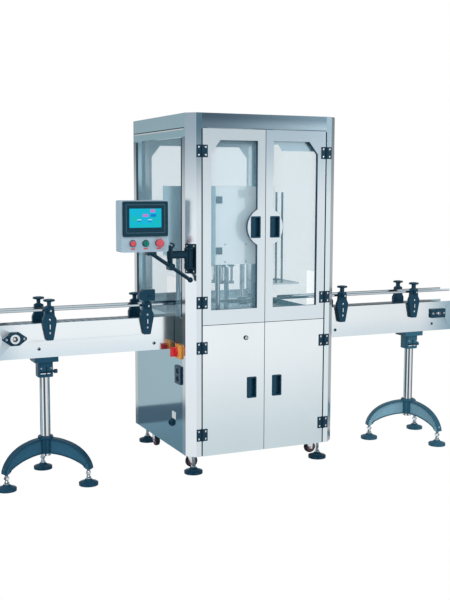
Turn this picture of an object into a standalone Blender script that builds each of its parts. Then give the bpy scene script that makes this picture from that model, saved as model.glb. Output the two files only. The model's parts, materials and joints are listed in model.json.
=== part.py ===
"""Automatic can seaming machine: a glazed stainless cabinet on feet and casters,
a slat chain conveyor through it on two tripod stands, and a swivel operator panel.

Metres, +Z up. The origin is on the floor, under the middle of the whole machine.
The cans travel along X; the operator stands at -Y.
"""
import math

import bmesh
import bpy
from mathutils import Matrix, Vector

for old in list(bpy.data.objects):
    bpy.data.objects.remove(old, do_unlink=True)

# General fits
GAP = 0.0003            # clearance between two pieces that touch
SHEET = 0.003           # folded stainless sheet
TOUCH = 0.001           # how far a welded piece runs into its carrier

# Cabinet
CAB_W = 0.800
CAB_D = 0.811
CAB_TOP = 1.7287
CAB_BASE = 0.099
FRONT = -CAB_D / 2
BACK = CAB_D / 2
LEFT = -CAB_W / 2
RIGHT = CAB_W / 2
CHAMFER = 0.040         # bevelled corner of each post
POST_SIDE = 0.0405      # post's strip on the side face
POST_FRONT = 0.031      # post's strip on the front face
POST_RETURN = 0.030     # flange that turns into the cabinet
BEAM_DROP = 0.0645      # front and back top beams
SIDE_BEAM_DROP = 0.1055
BEAM_DEEP = 0.040
ROOF_T = 0.0032
CHANNEL_W = 0.090       # base channels under the sides
CHANNEL_H = 0.040
CROSS_W = 0.040
RAIL_H = 0.040          # rails that carry the table
RAIL_W = 0.030
POST_X = RIGHT - CHAMFER - POST_FRONT
POST_Y = BACK - CHAMFER - POST_SIDE + 0.0005
BEAM_LOW = CAB_TOP - ROOF_T - BEAM_DROP
FLOOR_Z = CAB_BASE + CHANNEL_H + GAP

# Doors
DOOR_T = 0.020
REVEAL = 0.003          # gap between the doors
SPLIT_Z = 0.734         # between the upper and lower doors
DOOR_TOP = BEAM_LOW - 0.0033
HINGE_X = POST_X + 0.002
LEAF_W = 0.028
LEAF_H = 0.058
LEAF_T = 0.0032
BARREL_R = 0.0052
HINGE_Y = FRONT - BARREL_R - GAP
HINGE_UP = (DOOR_TOP - 0.1047, SPLIT_Z + 0.109)
HINGE_LOW = (SPLIT_Z - 0.108, CAB_BASE + 0.105)
WIN_IN = 0.0424
WIN_OUT = HINGE_X - 0.0465
WIN_LOW = SPLIT_Z + 0.071
WIN_HIGH = DOOR_TOP - 0.0527
WIN_CUT = (0.048, 0.060)
PULL_Z = (SPLIT_Z + DOOR_TOP) / 2    # centre of the pulls and of the discs round them
PULL_DISC_R = 0.095
PULL_X = 0.0515
PULL_LOW = (0.0685, (CAB_BASE + SPLIT_Z) / 2)
PULL_W = 0.050
PULL_H = 0.104
PULL_RIM = 0.004
PULL_DEEP = 0.017
SEAT_W = 0.012          # rim that the pane lies on
PANE_T = 0.004
PANE_LAP = 0.010
LOCK = (-0.101, 0.663)
LOCK_R = 0.0095

# Panels and table
PANEL_TOP = 0.763       # top of the lower side panels
TABLE_T = 0.008
TABLE_Z = 0.743
TROUGH_CLEAR = 0.0145   # beside the conveyor
TROUGH_DROP = GAP       # the conveyor rests in it
ENTRY_TOP = 0.950       # top of the can opening in the side panes

# Conveyor
CONV_Y = FRONT + 0.2364
CONV_W = 0.101          # over the side plates
CONV_FRONT = CONV_Y - CONV_W / 2
CONV_BACK = CONV_Y + CONV_W / 2
CONV_LEFT = -1.262
CONV_RIGHT = 1.250
CONV_Z0 = 0.6016
CONV_Z1 = 0.7605
SHAFT_Z = 0.697
IDLER_X = -1.180
DRIVE_X = 1.156
CHAIN_R = 0.0655        # outside of the slats at the ends
CHAIN_T = 0.0045
CHAIN_W = 0.0826
PITCH = 0.0381
GROOVE = 0.0016
SPROCKET_W = 0.040
SHAFT_R = 0.0125
BORE_CLEAR = 0.0006
FOLD = 0.015
STRIP_H = 0.010         # wear strip under the chain's top run
STRIP_W = 0.014
FLANGE = (0.055, 0.031) # half sizes of the idler's flange
BEARING_W = 0.096
BEARING_H = 0.050
BEARING_T = 0.012
HUB_R = 0.022
HUB_T = 0.018
RAIL_Z = 0.822          # can guide rails
RAIL_BAR = (0.006, 0.012)
RAIL_GAP = 0.078        # free width between the two rails
ROD_R = 0.005
BRACKETS_FRONT = (-1.020, -0.545, 0.540, 0.990)
BRACKETS_BACK = (-1.040, -0.565, 0.520, 0.970)
BRACKET_T = 0.020
BRACKET_HALF = 0.032     # half width of a bracket where it is widest
KNOB_HALF = 0.025        # T knob on each bracket
SENSOR_Z = RAIL_Z + 0.050
TIE_R = 0.008
TIES = (-0.80, 0.0, 0.80)
TEETH = 10
TOOTH = 0.009
GEAR_W = 0.096
GEAR_H = 0.100
GEAR_D = 0.080
MOTOR_R = 0.037
MOTOR_L = 0.245

# Stands
STAND_X = (-1.033, 1.009)
STAND_TURN = (200.2, 163.6)
TUBE_R = 0.02415
TUBE_WALL = 0.002
TUBE_LOW = 0.126
CLAMP_W = 0.112
CLAMP_T = 0.024
CLAMP_BLOCK = 0.071
CLAMP_LOW = 0.505
HUB_TOP = 0.221
HUB_LOW = 0.137
TRIPOD_R = 0.036        # top of the tripod's hub
FOOT_REACH = 0.2163
ARM_W = 0.034
ARM_T = 0.008
WEB_T = 0.012
BOSS_R = 0.018
BOSS_LOW = 0.078
STAND_KNOB_R = 0.010

# Levelling feet
FOOT_R = 0.045
FOOT_RIM = 0.012
SPINDLE_R = 0.007
NECK_R = 0.008
NECK_Z = 0.028
NUT_R = 0.013
NUT_H = 0.010

# Cabinet feet and casters
FOOT_X = RIGHT - 0.055
FOOT_Y = BACK - 0.0755
CASTER_X = RIGHT - 0.065
CASTER_Y = BACK - 0.1705
CASTER_PLATE = 0.060
CASTER_PLATE_T = 0.0033
CASTER_HEAD_R = 0.018
CASTER_HEAD_H = 0.014
CHEEK_T = 0.003
WHEEL_R = 0.031
WHEEL_W = 0.022
WHEEL_Z = 0.0335
TRAIL = 0.018
CASTER_TURN = {"front_left": 180, "front_right": 180, "back_left": 90, "back_right": 0}
AXLE_R = 0.004

# Operator panel
BOX_W = 0.225
BOX_X1 = LEFT - 0.109    # its end beside the arm
BOX_MID = BOX_X1 - BOX_W / 2
BOX_CORNER = 0.006
BOX_Z0 = 1.092
BOX_H = 0.234
BOX_Y = FRONT - 0.0245  # front face
BOX_D = 0.080
BEZEL_W = 0.217
BEZEL_H = 0.159
BEZEL_T = 0.007
SCREEN = (0.154, 0.087)
BUTTON_Z = BOX_Z0 + 0.040
STOP_X = BOX_MID - 0.0595
START_X = BOX_MID + 0.0015
ESTOP_X = BOX_MID + 0.0645
CAP_R = 0.0125
COLLAR_R = 0.0165
COLLAR_T = 0.004
WELL_DEEP = 0.012
MUSH_R = 0.020
STEM_R = 0.009
PLATE_HALF = 0.028      # half width of the plate on the cabinet's corner
PLATE_T = 0.0045
LUG_T = 0.010
BRACKET_Z = (0.982, 1.122)
SWIVEL_R = 0.021
SWIVEL_Z = (1.017, 1.094)
ARM_Z = (1.056, 1.093)
ARM_HALF = 0.015
CLAMP_HALF = 0.014
CAP_H = 0.035
BALL_R = 0.013
SADDLE_H = 0.018
PIN_R = 0.006           # swivel and pan pins
PAN_X = LEFT - 0.092
BAR_R = 0.0085
BAR_X = (LEFT - 0.190, LEFT + 0.003)
BAR_Y = BOX_Y + 0.010
BAR_Z = (1.08492, 0.956)

# Main switch and sockets on the left side
SWITCH_Y = FRONT + 0.1185
SWITCH_Z = 0.598
SWITCH_W = 0.070
SWITCH_T = 0.010
DIAL_R = 0.028
DIAL_T = 0.006
KNOB_R = 0.024
KNOB_T = 0.012
GRIP_OUT = 0.018
GRIP_W = 0.014
SWITCH_STEM_R = 0.008
SOCKET_Y = (FRONT + 0.0875, FRONT + 0.1635)
SOCKET_Z = (0.437, 0.526)
SOCKET_R = 0.014
SOCKET_IN = 0.025       # from the plate's ends to the sockets
SOCKET_PLATE_T = 0.008
SOCKET_DEEP = 0.005
GLAND_R = (0.020, 0.015, 0.010)
GLAND_YZ = (FRONT + 0.2185, 0.226)

# Seaming head
SEAM_X = -0.070
SEAM_Y = FRONT + 0.3455
CHAIN_TOP = SHAFT_Z + CHAIN_R
LIFT_TOP = CHAIN_TOP - 0.002
LIFT_LOW = LIFT_TOP - 0.2005
LIFT_R = 0.014
CAN_ROOM = 0.1325       # from the chain to the chuck
CHUCK_R = 0.032
CHUCK_STEM_R = 0.012
CHUCK_Z = CHAIN_TOP + CAN_ROOM
HEAD_LOW = CHUCK_Z + 0.119
HEAD_H = 0.376
HEAD_X = (-0.230, 0.086)
HEAD_Y = (FRONT + 0.0755, BACK - 0.0255)
HEAD_Z = (HEAD_LOW, HEAD_LOW + HEAD_H)
COLUMN_R = 0.0125
COLUMN_X = (HEAD_X[0] + 0.018, HEAD_X[1] - 0.018)
COLUMN_Y = (HEAD_Y[0] + 0.015, SEAM_Y + 0.260)
CASE_WALL = 0.004
CASE_FLOOR = 0.012
RING_R = 0.060          # turret's ring
RING_H = 0.032
ROLLER_R = 0.014
ROLLER_H = 0.016
ROLLER_PIN_R = 0.007
ROLLER_AT = 0.048
STAR_X = 0.040
STAR_R = 0.128
STAR_PITCH_R = 0.110
POCKET_R = 0.034
POCKETS = 8
STAR_Z = CHAIN_TOP + 0.0375
STAR_T = 0.010
STAR_SHAFT_R = 0.0125
STAR_HUB_R = 0.026
STAR_ROOM = 0.170       # from the star wheel's centre to the back rails' ends

# Lid magazine beside the head
LIDS_X = 0.174
LIDS_Y = CONV_Y + 0.0191
LIDS_R = 0.0385         # bore that the lids drop through
LIDS_ROD_AT = 0.046
LIDS_ROD_R = 0.0055
LIDS_Z = CHUCK_Z + 0.010
LIDS_T = 0.008
LIDS_TOP = LIDS_Z + 0.455

# Main drive under the table
CASE_W = 0.220
CASE_H = 0.220
CASE_FRONT = 0.090      # from the seaming axis
CASE_BACK = 0.110
GUIDE_R = 0.024
GUIDE_FOOT_R = 0.045
MAIN_MOTOR_R = 0.060
MAIN_FLANGE_R = 0.070
MAIN_MOTOR_L = 0.210

STEEL = (0.62, 0.66, 0.69)
BRIGHT = (0.78, 0.80, 0.82)
DARK = (0.035, 0.075, 0.095)
BLACK = (0.02, 0.025, 0.03)

PARTS = bpy.data.collections.new("can_seaming_machine")
CUTTERS = bpy.data.collections.new("cutters")
bpy.context.scene.collection.children.link(PARTS)
bpy.context.scene.collection.children.link(CUTTERS)


# Materials
def paint(ob, rgb, rough=0.4, metal=0.0, alpha=1.0):
    mat = bpy.data.materials.new(ob.name)
    mat.use_nodes = True
    shader = mat.node_tree.nodes["Principled BSDF"]
    shader.inputs["Base Color"].default_value = (*rgb, 1.0)
    shader.inputs["Roughness"].default_value = rough
    shader.inputs["Metallic"].default_value = metal
    shader.inputs["Alpha"].default_value = alpha
    ob.data.materials.clear()
    ob.data.materials.append(mat)
    return ob


def steel(ob):
    return paint(ob, STEEL, 0.35, 1.0)


# Solids
def new_object(name, mesh, matrix=None):
    if matrix is not None:
        mesh.transform(matrix)
    ob = bpy.data.objects.new(name, mesh)
    PARTS.objects.link(ob)
    return ob


def mesh_from(bm, name):
    bmesh.ops.recalc_face_normals(bm, faces=bm.faces)
    mesh = bpy.data.meshes.new(name)
    bm.to_mesh(mesh)
    bm.free()
    return mesh


def box(name, x, y, z):
    """Block between the given (low, high) pairs."""
    bm = bmesh.new()
    bmesh.ops.create_cube(bm, size=1.0)
    size = Matrix.Diagonal((x[1] - x[0], y[1] - y[0], z[1] - z[0], 1.0))
    mid = Matrix.Translation((sum(x) / 2, sum(y) / 2, sum(z) / 2))
    bm.transform(mid @ size)
    return new_object(name, mesh_from(bm, name))


PLANES = {
    "XY": Matrix.Identity(4),
    "XZ": Matrix(((1, 0, 0, 0), (0, 0, -1, 0), (0, 1, 0, 0), (0, 0, 0, 1))),
    "YZ": Matrix(((0, 0, 1, 0), (1, 0, 0, 0), (0, 1, 0, 0), (0, 0, 0, 1))),
}
NORMAL = {"XY": Vector((0, 0, 1)), "XZ": Vector((0, 1, 0)), "YZ": Vector((1, 0, 0))}


def cut_out(name, loops, span, plane):
    """Flat outline, holes after the first loop, extruded over span along the plane's normal."""
    curve = bpy.data.curves.new(name, "CURVE")
    curve.dimensions = "2D"
    curve.fill_mode = "BOTH"
    curve.extrude = (span[1] - span[0]) / 2
    for loop in loops:
        spline = curve.splines.new("POLY")
        spline.points.add(len(loop) - 1)
        for point, (u, v) in zip(spline.points, loop):
            point.co = (u, v, 0.0, 1.0)
        spline.use_cyclic_u = True
    guide = bpy.data.objects.new(name + "_outline", curve)
    PARTS.objects.link(guide)
    graph = bpy.context.evaluated_depsgraph_get()
    mesh = bpy.data.meshes.new_from_object(guide.evaluated_get(graph))
    bpy.data.objects.remove(guide, do_unlink=True)
    bm = bmesh.new()
    bm.from_mesh(mesh)
    bmesh.ops.remove_doubles(bm, verts=bm.verts, dist=1e-5)
    bm.transform(Matrix.Translation(NORMAL[plane] * sum(span) / 2) @ PLANES[plane])
    return new_object(name, mesh_from(bm, name))


def turned(name, profile, at, axis="Z", steps=12):
    """Turned piece: (radius, height) points down the outer side, on an axis through at."""
    mesh = bpy.data.meshes.new(name)
    ring = profile[0] == profile[-1]
    points = profile[:-1] if ring else profile
    edges = [(i, i + 1) for i in range(len(points) - 1)] + ([(len(points) - 1, 0)] if ring else [])
    mesh.from_pydata([(r, 0.0, h) for r, h in points], edges, [])
    ob = new_object(name, mesh)
    screw = ob.modifiers.new("Turn", "SCREW")
    screw.steps = screw.render_steps = steps
    screw.use_merge_vertices = True
    screw.merge_threshold = 1e-5
    turn = {"Z": Matrix.Identity(4), "Y": Matrix.Rotation(-math.pi / 2, 4, "X"),
            "X": Matrix.Rotation(math.pi / 2, 4, "Y")}[axis]
    ob.matrix_world = Matrix.Translation(at) @ turn
    return smooth(baked(ob))


def facing_front(ob, y):
    """Turns a piece made along +Y round, so that it faces the operator."""
    ob.data.transform(Matrix.Translation((0, 2 * y, 0)) @ Matrix.Diagonal((1, -1, 1, 1)))
    ob.data.flip_normals()
    return ob


def baked(ob):
    """The object with its modifiers and its placement made part of the mesh."""
    bpy.context.view_layer.update()
    graph = bpy.context.evaluated_depsgraph_get()
    mesh = bpy.data.meshes.new_from_object(ob.evaluated_get(graph))
    mesh.transform(ob.matrix_world)
    name = ob.name
    bpy.data.objects.remove(ob, do_unlink=True)
    mesh.name = name
    return new_object(name, mesh)


def rod(name, at, axis, span, r, steps=12):
    """Round bar on an axis through at, over span along that axis."""
    low, high = span
    profile = [(0.0, high), (r, high), (r, low), (0.0, low)]
    spot = Vector(at)
    spot["XYZ".index(axis)] = 0.0
    return turned(name, profile, spot, axis, steps)


def joined(name, obs):
    """Separate solids that don't touch, as one tool."""
    bm = bmesh.new()
    for ob in obs:
        bm.from_mesh(ob.data)
        bpy.data.objects.remove(ob, do_unlink=True)
    return new_object(name, mesh_from(bm, name))


def boolean(target, tool, operation):
    for holder in list(tool.users_collection):
        holder.objects.unlink(tool)
    CUTTERS.objects.link(tool)
    tool.hide_render = True
    tool.display_type = "WIRE"
    step = target.modifiers.new(tool.name, "BOOLEAN")
    step.operation = operation
    step.solver = "EXACT"
    step.object = tool
    return target


def weld(target, *tools):
    for tool in tools:
        boolean(target, tool, "UNION")
    return target


def cut(target, *tools):
    for tool in tools:
        boolean(target, tool, "DIFFERENCE")
    return target


def pivot(ob, point):
    """Puts the object's origin on its joint's axis, with its shape where it was."""
    ob.data.transform(Matrix.Translation(-Vector(point)))
    ob.location = point
    return ob


def smooth(ob, degrees=50):
    """Round faces shaded smooth, with the edges that are sharper than this kept."""
    ob.data.shade_smooth()
    ob.data.set_sharp_from_angle(angle=math.radians(degrees))
    return ob


# Outlines
def rect(x, z):
    return [(x[0], z[0]), (x[1], z[0]), (x[1], z[1]), (x[0], z[1])]


def round_rect(cx, cz, w, h, r, steps=2):
    out = []
    for k, (sx, sz) in enumerate(((1, -1), (1, 1), (-1, 1), (-1, -1))):
        mx, mz = cx + sx * (w / 2 - r), cz + sz * (h / 2 - r)
        for i in range(steps + 1):
            a = math.radians(-90 + 90 * k + 90 * i / steps)
            out.append((mx + r * math.cos(a), mz + r * math.sin(a)))
    return out


def circle(cx, cz, r, steps=12):
    return [(cx + r * math.cos(2 * math.pi * i / steps), cz + r * math.sin(2 * math.pi * i / steps))
            for i in range(steps)]


def folded(path, t):
    """Outline of sheet t thick, bent along path, with the sheet on the path's left."""
    pts = [Vector(p) for p in path]
    left = [Vector((a.y - b.y, b.x - a.x)).normalized() for a, b in zip(pts, pts[1:])]
    inner = []
    for i, p in enumerate(pts):
        n0, n1 = left[max(i - 1, 0)], left[min(i, len(left) - 1)]
        inner.append(p + (n0 + n1) * (t / (1.0 + n0.dot(n1))))
    return [tuple(p) for p in pts] + [tuple(p) for p in reversed(inner)]


def mirrored(points, sx=1, sy=1):
    return [(sx * u, sy * v) for u, v in points]


# Cabinet frame: four folded posts, beams, roof and base channels, all welded
def cabinet_frame():
    post = folded([(LEFT + POST_RETURN, -POST_Y), (LEFT, -POST_Y), (LEFT, FRONT + CHAMFER),
                   (LEFT + CHAMFER, FRONT), (-POST_X, FRONT), (-POST_X, FRONT + POST_RETURN)], SHEET)
    beam_z = CAB_TOP - ROOF_T + TOUCH
    posts = [cut_out("post", [mirrored(post, sx, sy)], (CAB_BASE, beam_z), "XY")
             for sx in (1, -1) for sy in (1, -1)]
    frame = joined("cabinet_frame", posts)

    low, top = beam_z - BEAM_DROP - TOUCH, beam_z
    front_beam = folded([(FRONT + BEAM_DEEP, top), (FRONT, top), (FRONT, low),
                         (FRONT + BEAM_DEEP, low)], SHEET)
    side_low = beam_z - SIDE_BEAM_DROP - TOUCH
    side_beam = folded([(LEFT + BEAM_DEEP, top), (LEFT, top), (LEFT, side_low),
                        (LEFT + BEAM_DEEP, side_low)], SHEET)
    reach_x, reach_y = POST_X + SHEET / 2, POST_Y + SHEET / 2
    base_z = CAB_BASE + CHANNEL_H
    rail_y, rail_z = FRONT + DOOR_T + 0.0015, TABLE_Z - TABLE_T - GAP
    rail = folded([(rail_y + RAIL_W, rail_z), (rail_y, rail_z), (rail_y, rail_z - RAIL_H)], SHEET)
    cross_y = FRONT + DOOR_T + 0.0005
    cross = folded([(cross_y, base_z), (cross_y, CAB_BASE), (cross_y + CROSS_W, CAB_BASE),
                    (cross_y + CROSS_W, base_z)], SHEET)
    channel_x = LEFT + SHEET + GAP
    channel = folded([(channel_x, base_z), (channel_x, CAB_BASE), (channel_x + CHANNEL_W, CAB_BASE),
                      (channel_x + CHANNEL_W, base_z)], SHEET)
    cross_reach = -(channel_x + CHANNEL_W) + SHEET / 2
    for name, shape, reach, plane in (
            ("front_beams", front_beam, reach_x, "YZ"),
            ("side_beams", side_beam, reach_y, "XZ"),
            ("table_rails", rail, reach_x, "YZ"),
            ("base_channels", channel, BACK - CHAMFER - 0.0055, "XZ"),
            ("cross_channels", cross, cross_reach, "YZ")):
        pair = [cut_out(name, [mirrored(shape, s)], (-reach, reach), plane) for s in (1, -1)]
        weld(frame, joined(name, pair))
    roof = cut_out("roof", [[(LEFT, FRONT + CHAMFER), (LEFT + CHAMFER, FRONT), (RIGHT - CHAMFER, FRONT),
                             (RIGHT, FRONT + CHAMFER), (RIGHT, BACK - CHAMFER), (RIGHT - CHAMFER, BACK),
                             (LEFT + CHAMFER, BACK), (LEFT, BACK - CHAMFER)]],
                   (CAB_TOP - ROOF_T, CAB_TOP), "XY")
    weld(frame, roof)
    half = CASTER_PLATE / 2
    plates = [box("caster_plate", (x - half, x + half), (y - half, y + half),
                  (CAB_BASE - CASTER_PLATE_T, CAB_BASE + TOUCH))
              for x in (-CASTER_X, CASTER_X) for y in (-CASTER_Y, CASTER_Y)]
    weld(frame, joined("caster_plates", plates))
    feet = [foot("foot", x, y, CAB_BASE + 0.030, CAB_BASE)
            for x in (-FOOT_X, FOOT_X) for y in (-FOOT_Y, FOOT_Y)]
    weld(frame, joined("cabinet_feet", feet))
    leaves = []
    for z in HINGE_UP + HINGE_LOW:
        for side in (-1, 1):
            leaves += hinge_half("fixed_leaf", side, z, -1)
    for tool in leaves:
        weld(frame, tool)
    return steel(frame)


def foot(name, x, y, top, nut_top):
    """Levelling foot: spindle, lock nut under its carrier, and a dished pad."""
    nut = nut_top - 0.002
    return turned(name, [(0, top), (SPINDLE_R, top), (SPINDLE_R, nut), (NUT_R, nut), (NUT_R, nut - NUT_H),
                         (SPINDLE_R, nut - NUT_H - 0.002), (NECK_R, NECK_Z), (FOOT_R, FOOT_RIM), (FOOT_R, 0),
                         (0, 0)], (x, y, 0), steps=8)


def hinge_half(name, side, z, half):
    """Leaf and its half of the barrel. side is -1 or 1; half 1 is the door's, -1 the post's."""
    inward = -side * half                  # the door's leaf runs towards the middle
    axis_x = side * HINGE_X
    near = axis_x + inward * (BARREL_R + 2 * GAP)
    far = axis_x + inward * LEAF_W
    barrel_z = sorted((z + half * GAP / 2, z + half * LEAF_H / 2))
    leaf = box(name, sorted((near, far)), (FRONT - LEAF_T, FRONT + TOUCH), (z - LEAF_H / 2, z + LEAF_H / 2))
    web = box(name + "_web", sorted((axis_x, near + inward * TOUCH)), (FRONT - LEAF_T, FRONT - GAP),
              barrel_z)
    barrel = rod(name + "_barrel", (axis_x, HINGE_Y, 0), "Z", barrel_z, BARREL_R, 8)
    return [leaf, web, barrel]


# Cabinet panels, floor, table and panes
def notched(x, y, nx, ny):
    """Rectangle of half sizes x, y with its corners cut back to nx, ny."""
    quarter = [(nx, -y), (nx, -ny), (x, -ny)]
    return (mirrored(quarter, 1, 1) + mirrored(quarter[::-1], 1, -1)
            + mirrored(quarter, -1, -1) + mirrored(quarter[::-1], -1, 1))


def floor_plate():
    shape = notched(CAB_W / 2 - SHEET - GAP, CAB_D / 2 - DOOR_T - 0.001, POST_X - 0.0025, POST_Y - 0.0035)
    return steel(cut_out("floor_plate", [shape], (FLOOR_Z, FLOOR_Z + SHEET), "XY"))


def table_plate():
    """Work table with a trough for the conveyor and a hole for the lifter."""
    front, back = CONV_FRONT - TROUGH_CLEAR, CONV_BACK + TROUGH_CLEAR
    low = CONV_Z0 - TROUGH_DROP
    edge = CAB_D / 2 - DOOR_T - 0.002
    shape = folded([(edge, TABLE_Z), (back, TABLE_Z), (back, low), (front, low), (front, TABLE_Z),
                    (-edge, TABLE_Z)], TABLE_T)
    half = CAB_W / 2 - SHEET - GAP
    table = cut_out("table_plate", [shape], (-half, half), "YZ")
    nx, ny = POST_X - 0.0025, POST_Y - 0.0035
    span = (low - TABLE_T, TABLE_Z + TABLE_T)
    corners = [box("corner", sorted((sx * nx, sx * CAB_W)), sorted((sy * ny, sy * CAB_D)), span)
               for sx in (-1, 1) for sy in (-1, 1)]
    hole = rod("lifter_hole", (SEAM_X, SEAM_Y, 0), "Z", span, CHUCK_R + 0.0012, 16)
    return steel(cut(table, joined("table_corners", corners), hole))


def side_panel(name, side):
    """Lower side sheet, open at its top for the conveyor."""
    half = POST_Y - GAP
    clear = 0.005
    front, back = CONV_FRONT - clear, CONV_BACK + clear
    low = CONV_Z0 - clear
    shape = [(-half, CAB_BASE + GAP), (half, CAB_BASE + GAP), (half, PANEL_TOP), (back, PANEL_TOP),
             (back, low), (front, low), (front, PANEL_TOP), (-half, PANEL_TOP)]
    x = side * (CAB_W / 2 - SHEET / 2)
    return steel(cut_out(name, [shape], (x - SHEET / 2, x + SHEET / 2), "YZ"))


def left_lower_panel():
    """Left sheet with the double socket and the cable gland."""
    panel = side_panel("left_lower_panel", -1)
    mid_y, mid_z = sum(SOCKET_Y) / 2, sum(SOCKET_Z) / 2
    face = LEFT - SOCKET_PLATE_T
    outline = round_rect(mid_y, mid_z, SOCKET_Y[1] - SOCKET_Y[0], SOCKET_Z[1] - SOCKET_Z[0], 0.005)
    sockets = cut_out("socket_plate", [outline], (face, LEFT + TOUCH), "YZ")
    wells = [rod("socket", (0, mid_y, z), "X", (face - 0.012, face + SOCKET_DEEP), SOCKET_R, 10)
             for z in (SOCKET_Z[0] + SOCKET_IN, SOCKET_Z[1] - SOCKET_IN)]
    y, z = GLAND_YZ
    wide, mouth, bore = GLAND_R
    gland = turned("gland", [(bore, 0.016), (mouth, 0.013), (wide, 0.004), (wide, -TOUCH), (0, -TOUCH),
                             (0, 0.006), (bore, 0.006), (bore, 0.016)], (LEFT, y, z), "X", 12)
    gland.data.transform(Matrix.Translation((LEFT, 0, 0)) @ Matrix.Diagonal((-1, 1, 1, 1))
                         @ Matrix.Translation((-LEFT, 0, 0)))
    gland.data.flip_normals()
    weld(panel, sockets, gland)
    return cut(panel, joined("socket_wells", wells))


def back_lower_panel():
    shape = rect((-POST_X + GAP, POST_X - GAP), (CAB_BASE + GAP, SPLIT_Z - REVEAL / 2))
    return steel(cut_out("back_lower_panel", [shape], (BACK - SHEET, BACK), "XZ"))


def window(grow, side):
    """Outline of a door window: its outer top corner is cut off and the pull's disc bites in."""
    x0, x1 = WIN_IN - grow, WIN_OUT + grow
    z0, z1 = WIN_LOW - grow, WIN_HIGH + grow
    r = PULL_DISC_R - grow
    a = math.acos(x0 / r)
    arc = [(r * math.cos(a - 2 * a * i / 8), PULL_Z + r * math.sin(a - 2 * a * i / 8)) for i in range(9)]
    shape = [(x0, z0), (x1, z0), (x1, z1 - WIN_CUT[1]), (x1 - WIN_CUT[0], z1), (x0, z1)] + arc
    return mirrored(shape, side)


def back_upper_panel():
    shape = rect((-POST_X + GAP, POST_X - GAP), (SPLIT_Z + REVEAL / 2, BEAM_LOW - GAP))
    loops = [shape, window(0, -1), window(0, 1)]
    return steel(cut_out("back_upper_panel", loops, (BACK - SHEET, BACK), "XZ"))


def back_window_pane():
    y = BACK - SHEET - GAP
    shape = rect((-WIN_OUT - PANE_LAP, WIN_OUT + PANE_LAP), (WIN_LOW - PANE_LAP, WIN_HIGH + PANE_LAP))
    return glass(cut_out("back_window_pane", [shape], (y - PANE_T, y), "XZ"))


def side_pane(name, side):
    """Side glazing with the opening that the cans pass through."""
    half = POST_Y - GAP
    low, high = PANEL_TOP + GAP, CAB_TOP - ROOF_T - SIDE_BEAM_DROP - GAP
    front, back = CONV_FRONT - TROUGH_CLEAR, CONV_BACK + TROUGH_CLEAR
    shape = [(-half, low), (front, low), (front, ENTRY_TOP), (back, ENTRY_TOP), (back, low), (half, low),
             (half, high), (-half, high)]
    x = side * (CAB_W / 2 - SHEET)
    return glass(cut_out(name, [shape], sorted((x, x - side * PANE_T)), "YZ"))


def glass(ob):
    return paint(ob, (0.80, 0.86, 0.88), 0.08, 0.0, 0.25)


# Doors
def door(name, side, z, pull, hinges, holes=(), glazed=False):
    """Folded door pan with its hinge leaves. side -1 is the left door."""
    x = (side * (REVEAL / 2), side * (HINGE_X - 0.0035))
    outer = rect(sorted(x), z)
    loops = [outer] + list(holes)
    loops.append(rect((pull[0] - PULL_W / 2 + PULL_RIM, pull[0] + PULL_W / 2 - PULL_RIM),
                      (pull[1] - PULL_H / 2 + PULL_RIM, pull[1] + PULL_H / 2 - PULL_RIM)))
    inset = rect((min(x) + SHEET, max(x) - SHEET), (z[0] + SHEET, z[1] - SHEET))
    pocket = [inset]
    if glazed:
        loops.append(window(0, side))
        pocket.append(window(SEAT_W, side))
    pan = cut_out(name, loops, (FRONT, FRONT + DOOR_T), "XZ")
    cut(pan, cut_out(name + "_pocket", pocket, (FRONT + SHEET, FRONT + DOOR_T + 0.01), "XZ"))
    for hz in hinges:
        for tool in hinge_half(name + "_leaf", side, hz, 1):
            weld(pan, tool)
    return steel(pan)


def hang(pan, side):
    """Moves a door's origin to its hinge line, with its tools along."""
    point = Vector((side * HINGE_X, HINGE_Y, 0))
    pivot(pan, point)
    return pan


def doors():
    upper = (SPLIT_Z + REVEAL / 2, DOOR_TOP)
    lower = (CAB_BASE, SPLIT_Z - REVEAL / 2)
    lock_hole = circle(LOCK[0], LOCK[1], LOCK_R + BORE_CLEAR, 10)
    for word, side in (("left", -1), ("right", 1)):
        pull_at = (side * PULL_X, PULL_Z)
        hang(door("upper_%s_door" % word, side, upper, pull_at, HINGE_UP, glazed=True), side)
        holes = [lock_hole] if side < 0 else []
        pull_at = (side * PULL_LOW[0], PULL_LOW[1])
        hang(door("lower_%s_door" % word, side, lower, pull_at, HINGE_LOW, holes), side)
        y = FRONT + DOOR_T + GAP
        pane = cut_out("upper_%s_pane" % word, [window(PANE_LAP, side)], (y, y + PANE_T), "XZ")
        glass(hang(pane, side))
        for level, (px, pz) in (("upper", (PULL_X, PULL_Z)), ("lower", PULL_LOW)):
            hang(pull_handle("%s_%s_pull" % (level, word), side * px, pz), side)


def pull_handle(name, x, z):
    """Flush pull: a rimmed cup let into the door."""
    w, h = PULL_W - 2 * PULL_RIM - 2 * GAP, PULL_H - 2 * PULL_RIM - 2 * GAP
    rim = cut_out(name, [round_rect(x, z, PULL_W, PULL_H, 0.004)], (FRONT - 0.0035, FRONT - GAP), "XZ")
    cup = box(name + "_cup", (x - w / 2, x + w / 2), (FRONT - 0.001, FRONT + PULL_DEEP),
              (z - h / 2, z + h / 2))
    well = box(name + "_well", (x - w / 2 + 0.002, x + w / 2 - 0.002),
               (FRONT - 0.01, FRONT + PULL_DEEP - 0.002), (z - h / 2 + 0.003, z + h / 2 - 0.003))
    lip = box(name + "_lip", (x - w / 2, x - w / 2 + 0.4 * w), (FRONT - 0.0015, FRONT + 0.0015),
              (z - h / 2, z + h / 2))
    return paint(weld(cut(weld(rim, cup), well), lip), DARK, 0.35)


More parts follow.
